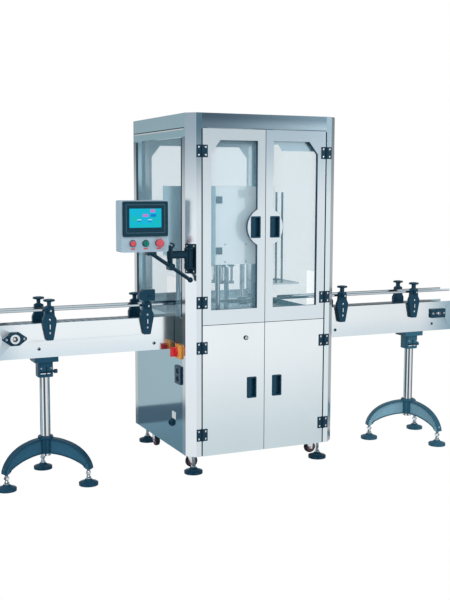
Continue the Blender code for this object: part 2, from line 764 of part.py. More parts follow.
def key_lock():
    """Cam lock of the lower left door."""
    cam_y = FRONT + DOOR_T + 0.005
    rim = LOCK_R + 0.002
    head = turned("key_lock", [(0, 0.006), (rim - 0.0015, 0.006), (rim, 0.0045), (rim, GAP), (LOCK_R, GAP),
                               (LOCK_R, FRONT - cam_y), (0, FRONT - cam_y)],
                  (LOCK[0], FRONT, LOCK[1]), "Y", 10)
    facing_front(head, FRONT)
    slot = box("key_slot", (LOCK[0] - 0.001, LOCK[0] + 0.001), (FRONT - 0.01, FRONT - 0.002),
               (LOCK[1] - 0.005, LOCK[1] + 0.005))
    cam = box("lock_cam", (LOCK[0] - 0.008, LOCK[0] + 0.045), (cam_y - TOUCH / 2, cam_y + 0.0025),
              (LOCK[1] - 0.008, LOCK[1] + 0.008))
    weld(head, cam)
    cut(head, slot)
    return paint(pivot(head, (LOCK[0], FRONT, LOCK[1])), BRIGHT, 0.25, 1.0)


# Main switch
def main_switch():
    face = LEFT - GAP
    base = cut_out("main_switch_base", [round_rect(SWITCH_Y, SWITCH_Z, SWITCH_W, SWITCH_W, 0.006)],
                   (face - SWITCH_T, face), "YZ")
    dial = face - SWITCH_T - DIAL_T
    ring = rod("switch_ring", (0, SWITCH_Y, SWITCH_Z), "X", (dial, face - SWITCH_T + TOUCH), DIAL_R, 16)
    deep = face - SWITCH_T + 0.002
    well = rod("switch_well", (0, SWITCH_Y, SWITCH_Z), "X", (dial - 0.014, deep), SWITCH_STEM_R + 0.0005, 10)
    paint(cut(weld(base, ring), well), (0.85, 0.55, 0.12), 0.45)
    top = dial - KNOB_T
    knob = rod("main_switch_knob", (0, SWITCH_Y, SWITCH_Z), "X", (top, dial - GAP), KNOB_R, 16)
    grip = box("knob_grip", (top - GRIP_OUT, top + TOUCH), (SWITCH_Y - GRIP_W / 2, SWITCH_Y + GRIP_W / 2),
               (SWITCH_Z - KNOB_R + 0.001, SWITCH_Z + KNOB_R - 0.001))
    stem = rod("knob_stem", (0, SWITCH_Y, SWITCH_Z), "X", (dial - 0.002, deep - 0.001), SWITCH_STEM_R, 10)
    paint(pivot(weld(knob, grip, stem), (LEFT, SWITCH_Y, SWITCH_Z)), (0.55, 0.03, 0.04), 0.4)


# Operator panel on its swivel arm
MID = math.sqrt(0.5)
CORNER = Vector((LEFT + CHAMFER / 2, FRONT + CHAMFER / 2, 0))
SWIVEL_OUT = PLATE_T + SWIVEL_R + 0.002
SWIVEL = CORNER - Vector((MID, MID, 0)) * SWIVEL_OUT


def operator_panel():
    hmi_bracket()
    hmi_arm()
    hmi_support()
    hmi_box()
    touch_panel()
    push_button("stop_button", STOP_X, (0.60, 0.03, 0.06))
    push_button("start_button", START_X, (0.02, 0.32, 0.25))
    emergency_stop()


def hmi_bracket():
    """Plate on the bevelled corner with the swivel's fork."""
    turn = Matrix.Translation(CORNER) @ Matrix.Rotation(math.radians(-45), 4, "Z")
    plate = box("hmi_bracket", (-PLATE_HALF, PLATE_HALF), (-PLATE_T, -GAP), BRACKET_Z)
    root = -PLATE_T + TOUCH / 2
    nose = [(SWIVEL_R * math.cos(a), -SWIVEL_OUT - SWIVEL_R * math.sin(a))
            for a in (math.pi * i / 8 for i in range(9))]
    low, high = SWIVEL_Z
    lugs = joined("bracket_lugs", [cut_out("lug", [[(-SWIVEL_R, root), (SWIVEL_R, root)] + nose], span, "XY")
                                   for span in ((low - LUG_T, low - GAP), (high + GAP, high + LUG_T))])
    pin = rod("swivel_pin", (0, -SWIVEL_OUT, 0), "Z", (low - 0.008, high + 0.008), PIN_R, 10)
    for ob in (plate, lugs, pin):
        ob.data.transform(turn)
    return paint(weld(plate, lugs, pin), (0.10, 0.13, 0.15), 0.4)


def hmi_arm():
    """Swivel barrel and square arm."""
    barrel = rod("hmi_arm", SWIVEL, "Z", SWIVEL_Z, SWIVEL_R, 16)
    beam = box("arm_beam", (PAN_X, SWIVEL.x), (SWIVEL.y - ARM_HALF, SWIVEL.y + ARM_HALF), ARM_Z)
    eye = rod("arm_eye", (PAN_X, SWIVEL.y, 0), "Z", ARM_Z, ARM_HALF, 12)
    through = (SWIVEL_Z[0] - 0.01, SWIVEL_Z[1] + 0.01)
    bore = rod("arm_bore", SWIVEL, "Z", through, PIN_R + BORE_CLEAR, 10)
    pan_bore = rod("pan_bore", (PAN_X, SWIVEL.y, 0), "Z", through, PIN_R + BORE_CLEAR, 10)
    return paint(pivot(cut(weld(barrel, beam, eye), bore, pan_bore), SWIVEL), BLACK, 0.35)


def bar_z(x):
    """Height of the sloping bar's centre line."""
    return BAR_Z[1] + (BAR_Z[0] - BAR_Z[1]) * (BAR_X[1] - x) / (BAR_X[1] - BAR_X[0])


def hmi_support():
    """Clamp on the arm's end, with the sloping bar that carries the box on its saddle."""
    y = SWIVEL.y
    x = (PAN_X - CLAMP_HALF, PAN_X + CLAMP_HALF)
    clamp = box("hmi_support", x, (BAR_Y - CLAMP_HALF, y + 0.013), (bar_z(PAN_X) - CLAMP_HALF, ARM_Z[0] - GAP))
    cap = box("clamp_cap", x, (y - 0.013, y + 0.013), (ARM_Z[1] + GAP, ARM_Z[1] + CAP_H))
    pin = rod("pan_pin", (PAN_X, y, 0), "Z", (ARM_Z[0] - 0.01, ARM_Z[1] + 0.027), PIN_R, 10)
    ends = [Vector((x, BAR_Y, bar_z(x))) for x in BAR_X]
    run = ends[1] - ends[0]
    bar = rod("support_bar", (0, 0, 0), "Z", (0.0, run.length), BAR_R, 12)
    bar.data.transform(Matrix.Translation(ends[0]) @ run.to_track_quat("Z", "Y").to_matrix().to_4x4())
    ball = turned("bar_ball", [(BALL_R * math.sin(math.pi * i / 6), BALL_R * math.cos(math.pi * i / 6))
                               for i in range(7)], ends[1], "Z", 10)
    saddle = box("box_saddle", (BAR_X[0] - 0.022, BAR_X[0] + 0.025), (BOX_Y + 0.002, BOX_Y + 0.040),
                 (BOX_Z0 - SADDLE_H, BOX_Z0 - GAP))
    return paint(pivot(weld(clamp, cap, pin, bar, ball, saddle), (PAN_X, y, 0)), BLACK, 0.35)


def hmi_box():
    """Rounded steel box with the button collars and their wells."""
    outline = round_rect(BOX_MID, BOX_Z0 + BOX_H / 2, BOX_W, BOX_H, BOX_CORNER)
    case = cut_out("hmi_box", [outline], (BOX_Y, BOX_Y + BOX_D), "XZ")
    collars = [rod("collar", (x, 0, BUTTON_Z), "Y", (BOX_Y - COLLAR_T, BOX_Y + TOUCH), COLLAR_R, 14)
               for x in (STOP_X, START_X, ESTOP_X)]
    wells = [rod("well", (x, 0, BUTTON_Z), "Y", (BOX_Y - 0.01, BOX_Y + WELL_DEEP), r + BORE_CLEAR, 12)
             for x, r in ((STOP_X, CAP_R), (START_X, CAP_R), (ESTOP_X, STEM_R))]
    weld(case, joined("button_collars", collars))
    return paint(cut(case, joined("button_wells", wells)), (0.62, 0.70, 0.74), 0.45)


def touch_panel():
    z = BOX_Z0 + BOX_H - 0.004 - BEZEL_H / 2
    face = BOX_Y - GAP
    outline = round_rect(BOX_MID, z, BEZEL_W, BEZEL_H, BOX_CORNER)
    bezel = cut_out("touch_panel", [outline], (face - BEZEL_T, face), "XZ")
    glass_well = cut_out("screen_well", [round_rect(BOX_MID, z + 0.004, SCREEN[0], SCREEN[1], 0.002)],
                         (face - 0.02, face - BEZEL_T + 0.0015), "XZ")
    return paint(cut(bezel, glass_well), (0.03, 0.07, 0.10), 0.3)


def push_button(name, x, rgb):
    cap = turned(name, [(0, 0.012), (CAP_R - 0.002, 0.012), (CAP_R, 0.010), (CAP_R, -0.006), (0, -0.006)],
                 (x, BOX_Y, BUTTON_Z), "Y", 14)
    facing_front(cap, BOX_Y)
    return paint(pivot(cap, (x, BOX_Y, BUTTON_Z)), rgb, 0.3)


def emergency_stop():
    head = turned("emergency_stop", [(0, 0.030), (0.012, 0.0285), (MUSH_R - 0.002, 0.025), (MUSH_R, 0.020),
                                     (MUSH_R - 0.004, 0.015), (STEM_R + 0.003, 0.013), (STEM_R, 0.011),
                                     (STEM_R, -0.004), (0, -0.004)], (ESTOP_X, BOX_Y, BUTTON_Z), "Y", 16)
    facing_front(head, BOX_Y)
    return paint(pivot(head, (ESTOP_X, BOX_Y, BUTTON_Z)), (0.65, 0.04, 0.05), 0.3)


# Conveyor
def conveyor_side(name, side):
    """Folded side plate with its wear strip, bearings and guide brackets. side -1 is the front."""
    inner = CONV_Y + side * (CONV_W / 2 - SHEET)
    outer = CONV_Y + side * CONV_W / 2
    fold = [(outer, CONV_Z1), (outer, CONV_Z0), (outer - side * FOLD, CONV_Z0)]
    shape = folded(fold if side < 0 else fold[::-1], SHEET)
    plate = cut_out(name, [shape], (CONV_LEFT, CONV_RIGHT), "YZ")
    strip_top = SHAFT_Z + CHAIN_R - CHAIN_T - GAP
    strip = box(name + "_strip", (IDLER_X + 0.05, DRIVE_X - 0.05),
                sorted((inner + side * TOUCH, inner - side * STRIP_W)), (strip_top - STRIP_H, strip_top))
    weld(plate, strip)
    face = sorted((outer - side * TOUCH, outer + side * BEARING_T))
    hub = sorted((outer - side * TOUCH, outer + side * HUB_T))
    half = [(1, -0.16), (1, 0.16), (0.35, 1), (-0.35, 1)]
    rhombus = [(IDLER_X + FLANGE[0] * c, SHAFT_Z + FLANGE[1] * s)
               for c, s in half + [(-c, -s) for c, s in half]]
    weld(plate, cut_out(name + "_flange", [rhombus], face, "XZ"),
         rod(name + "_hub", (IDLER_X, 0, SHAFT_Z), "Y", hub, HUB_R, 14))
    if side < 0:
        block = round_rect(DRIVE_X, SHAFT_Z, BEARING_W, BEARING_H, 0.004)
        weld(plate, cut_out(name + "_bearing", [block], face, "XZ"))
    across = (CONV_Y - CONV_W, CONV_Y + CONV_W)
    holes = [rod("hole", (x, 0, SHAFT_Z), "Y", across, SHAFT_R + BORE_CLEAR, 12)
             for x in (IDLER_X, DRIVE_X)]
    spots = BRACKETS_FRONT if side < 0 else BRACKETS_BACK
    heads = [cut_out("bracket", [bracket_outline(x), circle(x, RAIL_Z, ROD_R + BORE_CLEAR, 8)],
                     sorted((outer - side * TOUCH, outer + side * BRACKET_T)), "XZ") for x in spots]
    weld(plate, joined(name + "_brackets", heads))
    if side < 0:
        weld(plate, sensor_block(outer))
    else:
        between = (CONV_FRONT + SHEET + GAP, CONV_BACK - SHEET + TOUCH)
        ties = [rod("tie", (x, 0, SHAFT_Z), "Y", between, TIE_R, 8) for x in TIES]
        weld(plate, joined("ties", ties))
    return steel(cut(plate, joined(name + "_holes", holes)))


def bracket_outline(x):
    """Tapered bracket body, clamp head, stem and T knob in one silhouette."""
    half = [(0.015, CONV_Z1 - 0.078), (0.018, CONV_Z1 - 0.070), (BRACKET_HALF, CONV_Z1 + 0.004),
            (BRACKET_HALF, CONV_Z1 + 0.022), (0.024, RAIL_Z - 0.024),
            (0.021, RAIL_Z + 0.016), (0.007, RAIL_Z + 0.022), (0.007, RAIL_Z + 0.038),
            (KNOB_HALF, RAIL_Z + 0.042), (KNOB_HALF, RAIL_Z + 0.050)]
    return [(x + dx, z) for dx, z in half] + [(x - dx, z) for dx, z in reversed(half)]


def sensor_block(outer):
    """Can counter housing over the second front bracket."""
    x = BRACKETS_FRONT[1]
    z = SENSOR_Z
    shape = [(x + 0.036, z - 0.027), (x + 0.036, z + 0.027), (x - 0.022, z + 0.027), (x - 0.040, z + 0.016),
             (x - 0.046, z), (x - 0.040, z - 0.016), (x - 0.022, z - 0.027)]
    return cut_out("sensor_block", [shape], (outer - 0.030, outer - 0.002), "XZ")


def slat_chain():
    """Slat top chain as one closed loop, with the joint between each pair of slats."""
    length = DRIVE_X - IDLER_X
    round_len = math.pi * CHAIN_R
    total = 2 * (length + round_len)
    count = round(total / PITCH)

    def at(s, r):
        s %= total
        if s < length:
            return IDLER_X + s, SHAFT_Z + r
        s -= length
        if s < round_len:
            a = math.pi / 2 - s / CHAIN_R
            return DRIVE_X + r * math.cos(a), SHAFT_Z + r * math.sin(a)
        s -= round_len
        if s < length:
            return DRIVE_X - s, SHAFT_Z - r
        a = -math.pi / 2 - (s - length) / CHAIN_R
        return IDLER_X + r * math.cos(a), SHAFT_Z + r * math.sin(a)

    step = total / count
    outer = []
    for i in range(count):
        s = (i + 0.5) * step
        outer += [at(s - GROOVE, CHAIN_R), at(s, CHAIN_R - GROOVE), at(s + GROOVE, CHAIN_R)]
        outer.append(at(s + step / 2, CHAIN_R))
    inner, r = [], CHAIN_R - CHAIN_T
    for x, start in ((DRIVE_X, 90), (IDLER_X, -90)):
        turns = [math.radians(start - 180 * i / 20) for i in range(21)]
        inner += [(x + r * math.cos(a), SHAFT_Z + r * math.sin(a)) for a in turns]
    flat = [p for i, p in enumerate(outer) if i % 4 != 3 or not on_straight(p)]
    return paint(cut_out("slat_chain", [flat, inner], (CONV_Y - CHAIN_W / 2, CONV_Y + CHAIN_W / 2), "XZ"),
                 (0.60, 0.64, 0.66), 0.3, 1.0)


def on_straight(p):
    return IDLER_X <= p[0] <= DRIVE_X


def sprocket_shaft(name, x, span):
    """Shaft with the toothed wheel that carries the chain."""
    tip = CHAIN_R - CHAIN_T - 2 * GAP
    rim = []
    for i in range(TEETH):
        for frac, r in ((-0.14, tip), (0.14, tip), (0.30, tip - TOOTH), (0.70, tip - TOOTH)):
            a = 2 * math.pi * (i + frac) / TEETH
            rim.append((x + r * math.cos(a), SHAFT_Z + r * math.sin(a)))
    wheel = cut_out(name, [rim], (CONV_Y - SPROCKET_W / 2, CONV_Y + SPROCKET_W / 2), "XZ")
    shaft = rod(name + "_bar", (x, 0, SHAFT_Z), "Y", span, SHAFT_R, 12)
    return paint(pivot(weld(wheel, shaft), (x, CONV_Y, SHAFT_Z)), BRIGHT, 0.3, 1.0)


def guide_rail(name, side, x, spots):
    """Rail bar with the rods that the bracket heads clamp."""
    y = CONV_Y + side * (RAIL_GAP / 2 + RAIL_BAR[0] / 2)
    bar = cut_out(name, [round_rect(y, RAIL_Z, RAIL_BAR[0], RAIL_BAR[1], 0.002, 1)], x, "YZ")
    end = CONV_Y + side * (CONV_W / 2 + BRACKET_T + 0.022)
    rods = [rod("rod", (s, 0, RAIL_Z), "Y", sorted((y, end)), ROD_R, 8) for s in spots]
    return paint(pivot(weld(bar, joined(name + "_rods", rods)), (sum(x) / 2, y, RAIL_Z)), BRIGHT, 0.3, 1.0)


def gearmotor():
    """Worm gear unit on the drive shaft, with its motor behind the conveyor."""
    y0 = CONV_BACK + GAP
    case = cut_out("conveyor_gearmotor", [round_rect(DRIVE_X, SHAFT_Z - 0.012, GEAR_W, GEAR_H, 0.012)],
                   (y0, y0 + GEAR_D), "XZ")
    motor = turned("motor_body", [(0, MOTOR_L), (MOTOR_R - 0.007, MOTOR_L), (MOTOR_R, MOTOR_L - 0.007),
                                  (MOTOR_R, 0.0), (0, 0.0)],
                   (DRIVE_X, y0 + GEAR_D - TOUCH, SHAFT_Z - 0.015), "Y", 14)
    bore = rod("gear_bore", (DRIVE_X, 0, SHAFT_Z), "Y", (y0 - 0.01, y0 + 0.032), SHAFT_R + BORE_CLEAR, 12)
    return paint(cut(weld(case, motor), bore), (0.30, 0.33, 0.36), 0.5)


# Tripod stands
ARM_TOP = [(0.020, 0.213), (0.080, 0.207), (0.140, 0.190), (0.185, 0.163), (0.216, 0.128), (0.232, 0.085)]
ARM_UNDER = [(0.200, 0.090), (0.140, 0.117), (0.080, 0.132), (0.020, 0.137)]


def stand(word, x, turn):
    y = CONV_Y
    plate = box("%s_stand_clamp" % word, (x - CLAMP_W / 2, x + CLAMP_W / 2),
                (CONV_FRONT + 0.001, CONV_BACK - 0.001), (CONV_Z0 - GAP - CLAMP_T, CONV_Z0 - GAP))
    block = cut_out("block", [round_rect(x, y, CLAMP_BLOCK, CLAMP_BLOCK, 0.012)],
                    (CLAMP_LOW, CONV_Z0 - CLAMP_T), "XY")
    r = STAND_KNOB_R
    knob = turned("clamp_knob", [(0, 0.026), (r, 0.026), (r, 0.010), (r / 2, 0.008), (r / 2, -0.004),
                                 (0, -0.004)], (x + CLAMP_BLOCK / 2, y, CLAMP_LOW + 0.02), "X", 10)
    bore_r, stop = TUBE_R + BORE_CLEAR, CONV_Z0 - CLAMP_T - 0.003
    bore = rod("clamp_bore", (x, y, 0), "Z", (CLAMP_LOW - 0.01, stop), bore_r, 16)
    paint(cut(weld(plate, block, knob), bore), DARK, 0.45)

    top, inner = stop - GAP, TUBE_R - TUBE_WALL
    tube = turned("%s_stand_tube" % word, [(TUBE_R, top), (TUBE_R, TUBE_LOW), (inner, TUBE_LOW),
                                           (inner, top), (TUBE_R, top)], (x, y, 0), steps=16)
    paint(tube, BRIGHT, 0.15, 1.0)

    hub = turned("%s_tripod" % word, [(0, HUB_TOP), (TRIPOD_R, HUB_TOP), (TRIPOD_R, HUB_TOP - 0.012),
                                      (TRIPOD_R - 0.007, HUB_TOP - 0.018), (TRIPOD_R - 0.008, HUB_LOW),
                                      (0, HUB_LOW)], (x, y, 0), steps=16)
    place = [Matrix.Translation((x, y, 0)) @ Matrix.Rotation(math.radians(turn + 120 * k), 4, "Z")
             for k in range(3)]
    web_line = [(r, z - ARM_T / 2) for r, z in ARM_TOP[:-1]] + [(FOOT_REACH, BOSS_LOW + 0.006)] + ARM_UNDER
    webs, flanges, feet = [], [], []
    for m in place:
        webs.append(cut_out("web", [web_line], (-WEB_T / 2, WEB_T / 2), "XZ"))
        webs[-1].data.transform(m)
        flanges.append(cut_out("flange", [folded(ARM_TOP[::-1], ARM_T)], (-ARM_W / 2, ARM_W / 2), "XZ"))
        flanges[-1].data.transform(m)
        feet.append(tripod_foot())
        feet[-1].data.transform(m)
    for kind, tools in (("webs", webs), ("flanges", flanges), ("feet", feet)):
        weld(hub, joined("%s_%s" % (word, kind), tools))
    through = (HUB_LOW - 0.03, HUB_TOP + 0.03)
    paint(cut(hub, rod("%s_hub_bore" % word, (x, y, 0), "Z", through, bore_r, 16)), DARK, 0.45)


def tripod_foot():
    """Boss at the end of an arm with its levelling foot."""
    nut, nut_r = BOSS_LOW - 0.016, NUT_R - 0.001
    return turned("tripod_foot", [(0, 0.122), (BOSS_R, 0.120), (BOSS_R, BOSS_LOW), (SPINDLE_R, BOSS_LOW),
                                  (SPINDLE_R, nut + 0.002), (nut_r, nut), (nut_r, nut - 0.009),
                                  (SPINDLE_R, nut - 0.011), (NECK_R, NECK_Z), (FOOT_R, FOOT_RIM),
                                  (FOOT_R, 0), (0, 0)], (FOOT_REACH, 0, 0), steps=8)


# Casters
def caster(word, x, y, turn):
    top = CAB_BASE - CASTER_PLATE_T - GAP
    crown = top - CASTER_HEAD_H
    half = WHEEL_W / 2 + 0.0015
    head = turned("%s_caster_fork" % word, [(0, top), (CASTER_HEAD_R, top), (CASTER_HEAD_R, crown), (0, crown)],
                  (0, 0, 0), steps=10)
    outside, inside = half + CHEEK_T, crown - CHEEK_T
    low, high = WHEEL_Z - 0.009, crown + TOUCH
    fork = [(-outside, low), (-half, low), (-half, inside), (half, inside), (half, low), (outside, low),
            (outside, high), (-outside, high)]
    yoke = cut_out("yoke", [fork], (-TRAIL - 0.014, CASTER_HEAD_R - 0.0008), "YZ")
    for v in yoke.data.vertices:
        if v.co.z < WHEEL_Z:
            v.co.x = -TRAIL + math.copysign(0.009, v.co.x + TRAIL)
    axle = rod("axle", (-TRAIL, 0, WHEEL_Z), "Y", (-half - 0.005, half + 0.005), AXLE_R, 8)
    edge, side, bore = WHEEL_R - 0.002, WHEEL_W / 2, AXLE_R + BORE_CLEAR
    wheel = turned("%s_caster_wheel" % word, [(edge, side), (WHEEL_R, 0), (edge, -side), (bore, -side),
                                              (bore, side), (edge, side)], (-TRAIL, 0, WHEEL_Z), "Y", 16)
    place = Matrix.Translation((x, y, 0)) @ Matrix.Rotation(math.radians(turn), 4, "Z")
    for ob in (head, yoke, axle, wheel):
        ob.data.transform(place)
    paint(pivot(weld(head, yoke, axle), (x, y, top)), BRIGHT, 0.3, 1.0)
    hub = place @ Vector((-TRAIL, 0, WHEEL_Z))
    paint(pivot(wheel, hub), (0.05, 0.03, 0.03), 0.6)


# Seaming head and its tooling
def seaming_housing():
    """Head casing open at the front, on four columns, with the fixed chuck under it."""
    wall = CASE_WALL
    case = box("seaming_housing", HEAD_X, HEAD_Y, HEAD_Z)
    hollow = box("head_hollow", (HEAD_X[0] + wall, HEAD_X[1] - wall), (HEAD_Y[0] - 0.01, HEAD_Y[1] - wall),
                 (HEAD_Z[0] + CASE_FLOOR, HEAD_Z[1] - wall))
    cut(case, hollow)
    columns = [rod("column", (x, y, 0), "Z", (TABLE_Z + GAP, HEAD_Z[0] + TOUCH), COLUMN_R, 12)
               for x in COLUMN_X for y in COLUMN_Y]
    weld(case, joined("columns", columns))
    weld(case, *lid_magazine())
    top, stem = HEAD_Z[0] + TOUCH, CHUCK_STEM_R
    chuck = turned("chuck", [(0, top), (stem, top), (stem, CHUCK_Z + 0.014), (CHUCK_R - 0.002, CHUCK_Z + 0.010),
                             (CHUCK_R, CHUCK_Z + 0.004), (CHUCK_R - 0.001, CHUCK_Z), (0, CHUCK_Z)],
                   (SEAM_X, SEAM_Y, 0), steps=18)
    return steel(weld(case, chuck))


def lid_magazine():
    """Plate on the front right column, with a bore and four rods round the stack of lids."""
    x0, y0 = COLUMN_X[1] - COLUMN_R / 2, COLUMN_Y[0] - COLUMN_R
    reach = LIDS_ROD_AT + 0.010
    shape = rect((x0, LIDS_X + reach), (y0, LIDS_Y + reach))
    top = LIDS_Z + LIDS_T
    plate = cut_out("lid_plate", [shape, circle(LIDS_X, LIDS_Y, LIDS_R, 20)], (LIDS_Z, top), "XY")
    side = LIDS_ROD_AT * MID
    rods = [rod("lid_rod", (LIDS_X + sx * side, LIDS_Y + sy * side, 0), "Z", (top - TOUCH, LIDS_TOP),
                LIDS_ROD_R, 8) for sx in (-1, 1) for sy in (-1, 1)]
    return [plate, joined("lid_rods", rods)]


def housing_cover():
    """Hinged front of the head casing."""
    y = HEAD_Y[0] - GAP
    cover = cut_out("housing_cover", [rect(HEAD_X, HEAD_Z)], (y - SHEET, y), "XZ")
    hinges = [box("cover_hinge", (HEAD_X[0] + 0.001, HEAD_X[0] + 0.034), (y - 2 * SHEET, y - SHEET + TOUCH),
                  (z - 0.017, z + 0.017)) for z in (HEAD_Z[1] - 0.065, HEAD_Z[0] + 0.067)]
    return steel(pivot(weld(cover, joined("cover_hinges", hinges)), (HEAD_X[0], y - SHEET, HEAD_Z[0])))


def seaming_turret():
    """Ring that turns round the chuck and carries two pairs of seaming rollers."""
    top = HEAD_Z[0] - GAP
    low, bore = top - RING_H, CHUCK_STEM_R + 0.0005
    ring = turned("seaming_turret", [(0.022, top), (0.022, top - 0.010), (RING_R, top - 0.014), (RING_R, low),
                                     (bore, low), (bore, top), (0.022, top)], (SEAM_X, SEAM_Y, 0), steps=18)
    arms, rollers = [], []
    for k in range(4):
        a = math.radians(45 + 90 * k)
        x, y = SEAM_X + ROLLER_AT * math.cos(a), SEAM_Y + ROLLER_AT * math.sin(a)
        arms.append(rod("roller_pin", (x, y, 0), "Z", (CHUCK_Z + 0.012, low + 0.002), ROLLER_PIN_R, 8))
        rollers.append(turned("roller", [(0, ROLLER_H), (ROLLER_R, ROLLER_H - 0.001),
                                         (ROLLER_R - 0.0015, ROLLER_H / 2), (ROLLER_R, 0.001), (0, 0.0)],
                              (x, y, CHUCK_Z), "Z", 12))
    weld(ring, joined("roller_pins", arms), joined("rollers", rollers))
    return paint(pivot(ring, (SEAM_X, SEAM_Y, top)), BRIGHT, 0.25, 1.0)


def star_wheel():
    """Pocketed wheel that moves cans off the chain, on a shaft from the head."""
    bite = math.acos((STAR_R ** 2 - STAR_PITCH_R ** 2 - POCKET_R ** 2) / (2 * STAR_PITCH_R * POCKET_R))
    shape = []
    for k in range(POCKETS):
        a = math.pi + 2 * math.pi * k / POCKETS
        cx, cy = STAR_PITCH_R * math.cos(a), STAR_PITCH_R * math.sin(a)
        for i in range(7):
            b = a + 2 * math.pi - bite - (2 * math.pi - 2 * bite) * i / 6
            shape.append((cx + POCKET_R * math.cos(b), cy + POCKET_R * math.sin(b)))
        tooth = a + math.pi / POCKETS
        shape.append((STAR_R * math.cos(tooth), STAR_R * math.sin(tooth)))
    pts = [(STAR_X + u, SEAM_Y + v) for u, v in shape]
    star = cut_out("star_wheel", [pts], (STAR_Z - STAR_T / 2, STAR_Z + STAR_T / 2), "XY")
    hub = rod("star_hub", (STAR_X, SEAM_Y, 0), "Z", (STAR_Z - 0.015, STAR_Z + 0.020), STAR_HUB_R, 14)
    shaft = rod("star_shaft", (STAR_X, SEAM_Y, 0), "Z", (STAR_Z, HEAD_Z[0] - GAP), STAR_SHAFT_R, 12)
    return paint(pivot(weld(star, hub, shaft), (STAR_X, SEAM_Y, STAR_Z)), (0.75, 0.77, 0.78), 0.3, 1.0)


def lift_pedestal():
    top = LIFT_TOP
    plunger = turned("lift_pedestal", [(0, top), (CHUCK_R - 0.002, top), (CHUCK_R, top - 0.002),
                                       (CHUCK_R, top - 0.010), (LIFT_R, top - 0.014), (LIFT_R, LIFT_LOW),
                                       (0, LIFT_LOW)], (SEAM_X, SEAM_Y, 0), steps=18)
    return paint(pivot(plunger, (SEAM_X, SEAM_Y, top)), BRIGHT, 0.25, 1.0)


def main_drive():
    """Gear case on the floor with the motor and the lifter's guide column."""
    z0 = FLOOR_Z + SHEET + GAP
    right, lid = SEAM_X + CASE_W / 2, z0 + CASE_H - TOUCH
    case = box("main_drive", (SEAM_X - CASE_W / 2, right), (SEAM_Y - CASE_FRONT, SEAM_Y + CASE_BACK),
               (z0, z0 + CASE_H))
    bevel = case.modifiers.new("Edges", "BEVEL")
    bevel.width = 0.010
    bevel.segments = 1
    top = LIFT_TOP - 0.0555
    column = turned("guide_column", [(0, top), (GUIDE_R, top), (GUIDE_R + 0.002, top - 0.005),
                                     (GUIDE_R + 0.006, lid + 0.031), (GUIDE_FOOT_R, lid), (0, lid)],
                    (SEAM_X, SEAM_Y, 0), steps=14)
    r, wide, far = MAIN_MOTOR_R, MAIN_FLANGE_R, MAIN_MOTOR_L
    motor = turned("main_motor", [(0, far), (r - 0.010, far), (r, far - 0.015), (r, 0.010), (wide, 0.008),
                                  (wide, -TOUCH), (0, -TOUCH)],
                   (right, SEAM_Y + (CASE_BACK - CASE_FRONT) / 2, z0 + CASE_H / 2), "X", 18)
    bore = rod("guide_bore", (SEAM_X, SEAM_Y, 0), "Z", (LIFT_LOW - 0.005, LIFT_TOP), LIFT_R + BORE_CLEAR, 12)
    return paint(cut(weld(case, column, motor), bore), (0.22, 0.28, 0.32), 0.5)


def build():
    cabinet_frame()
    floor_plate()
    table_plate()
    left_lower_panel()
    side_panel("right_lower_panel", 1)
    back_lower_panel()
    back_upper_panel()
    back_window_pane()
    side_pane("left_window_pane", -1)
    side_pane("right_window_pane", 1)
    doors()
    key_lock()
    main_switch()
    operator_panel()
    conveyor_side("conveyor_front_side", -1)
    conveyor_side("conveyor_back_side", 1)
    slat_chain()
    shaft_end = CONV_FRONT - 0.020
    sprocket_shaft("idler_shaft", IDLER_X, (shaft_end, CONV_BACK + 0.020))
    sprocket_shaft("drive_shaft", DRIVE_X, (shaft_end, CONV_BACK + 0.030))
    guide_rail("front_guide_rail", -1, (CONV_LEFT + 0.012, CONV_RIGHT - 0.010), BRACKETS_FRONT)
    guide_rail("back_guide_rail_left", 1, (CONV_LEFT + 0.012, STAR_X - STAR_ROOM), BRACKETS_BACK[:2])
    guide_rail("back_guide_rail_right", 1, (STAR_X + STAR_ROOM, CONV_RIGHT - 0.010), BRACKETS_BACK[2:])
    gearmotor()
    for word, x, turn in zip(("left", "right"), STAND_X, STAND_TURN):
        stand(word, x, turn)
    for row, sy in (("front", -1), ("back", 1)):
        for side, sx in (("left", -1), ("right", 1)):
            word = row + "_" + side
            caster(word, sx * CASTER_X, sy * CASTER_Y, CASTER_TURN[word])
    seaming_housing()
    housing_cover()
    seaming_turret()
    star_wheel()
    lift_pedestal()
    main_drive()


def centre_on_origin():
    """Moves everything so that the origin is under the middle of the overall box."""
    bpy.context.view_layer.update()
    graph = bpy.context.evaluated_depsgraph_get()
    spots = []
    for ob in PARTS.objects:
        mesh = ob.evaluated_get(graph).to_mesh()
        spots += [ob.matrix_world @ v.co for v in mesh.vertices]
    shift = Vector([-(min(p[i] for p in spots) + max(p[i] for p in spots)) / 2 for i in (0, 1)] + [0.0])
    for ob in list(PARTS.objects) + list(CUTTERS.objects):
        ob.location = ob.location + shift


build()
centre_on_origin()
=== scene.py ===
"""Looks of the can seaming machine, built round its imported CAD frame. Metres, +Z up."""
import json
import math

import bmesh
import bpy
from mathutils import Matrix, Vector


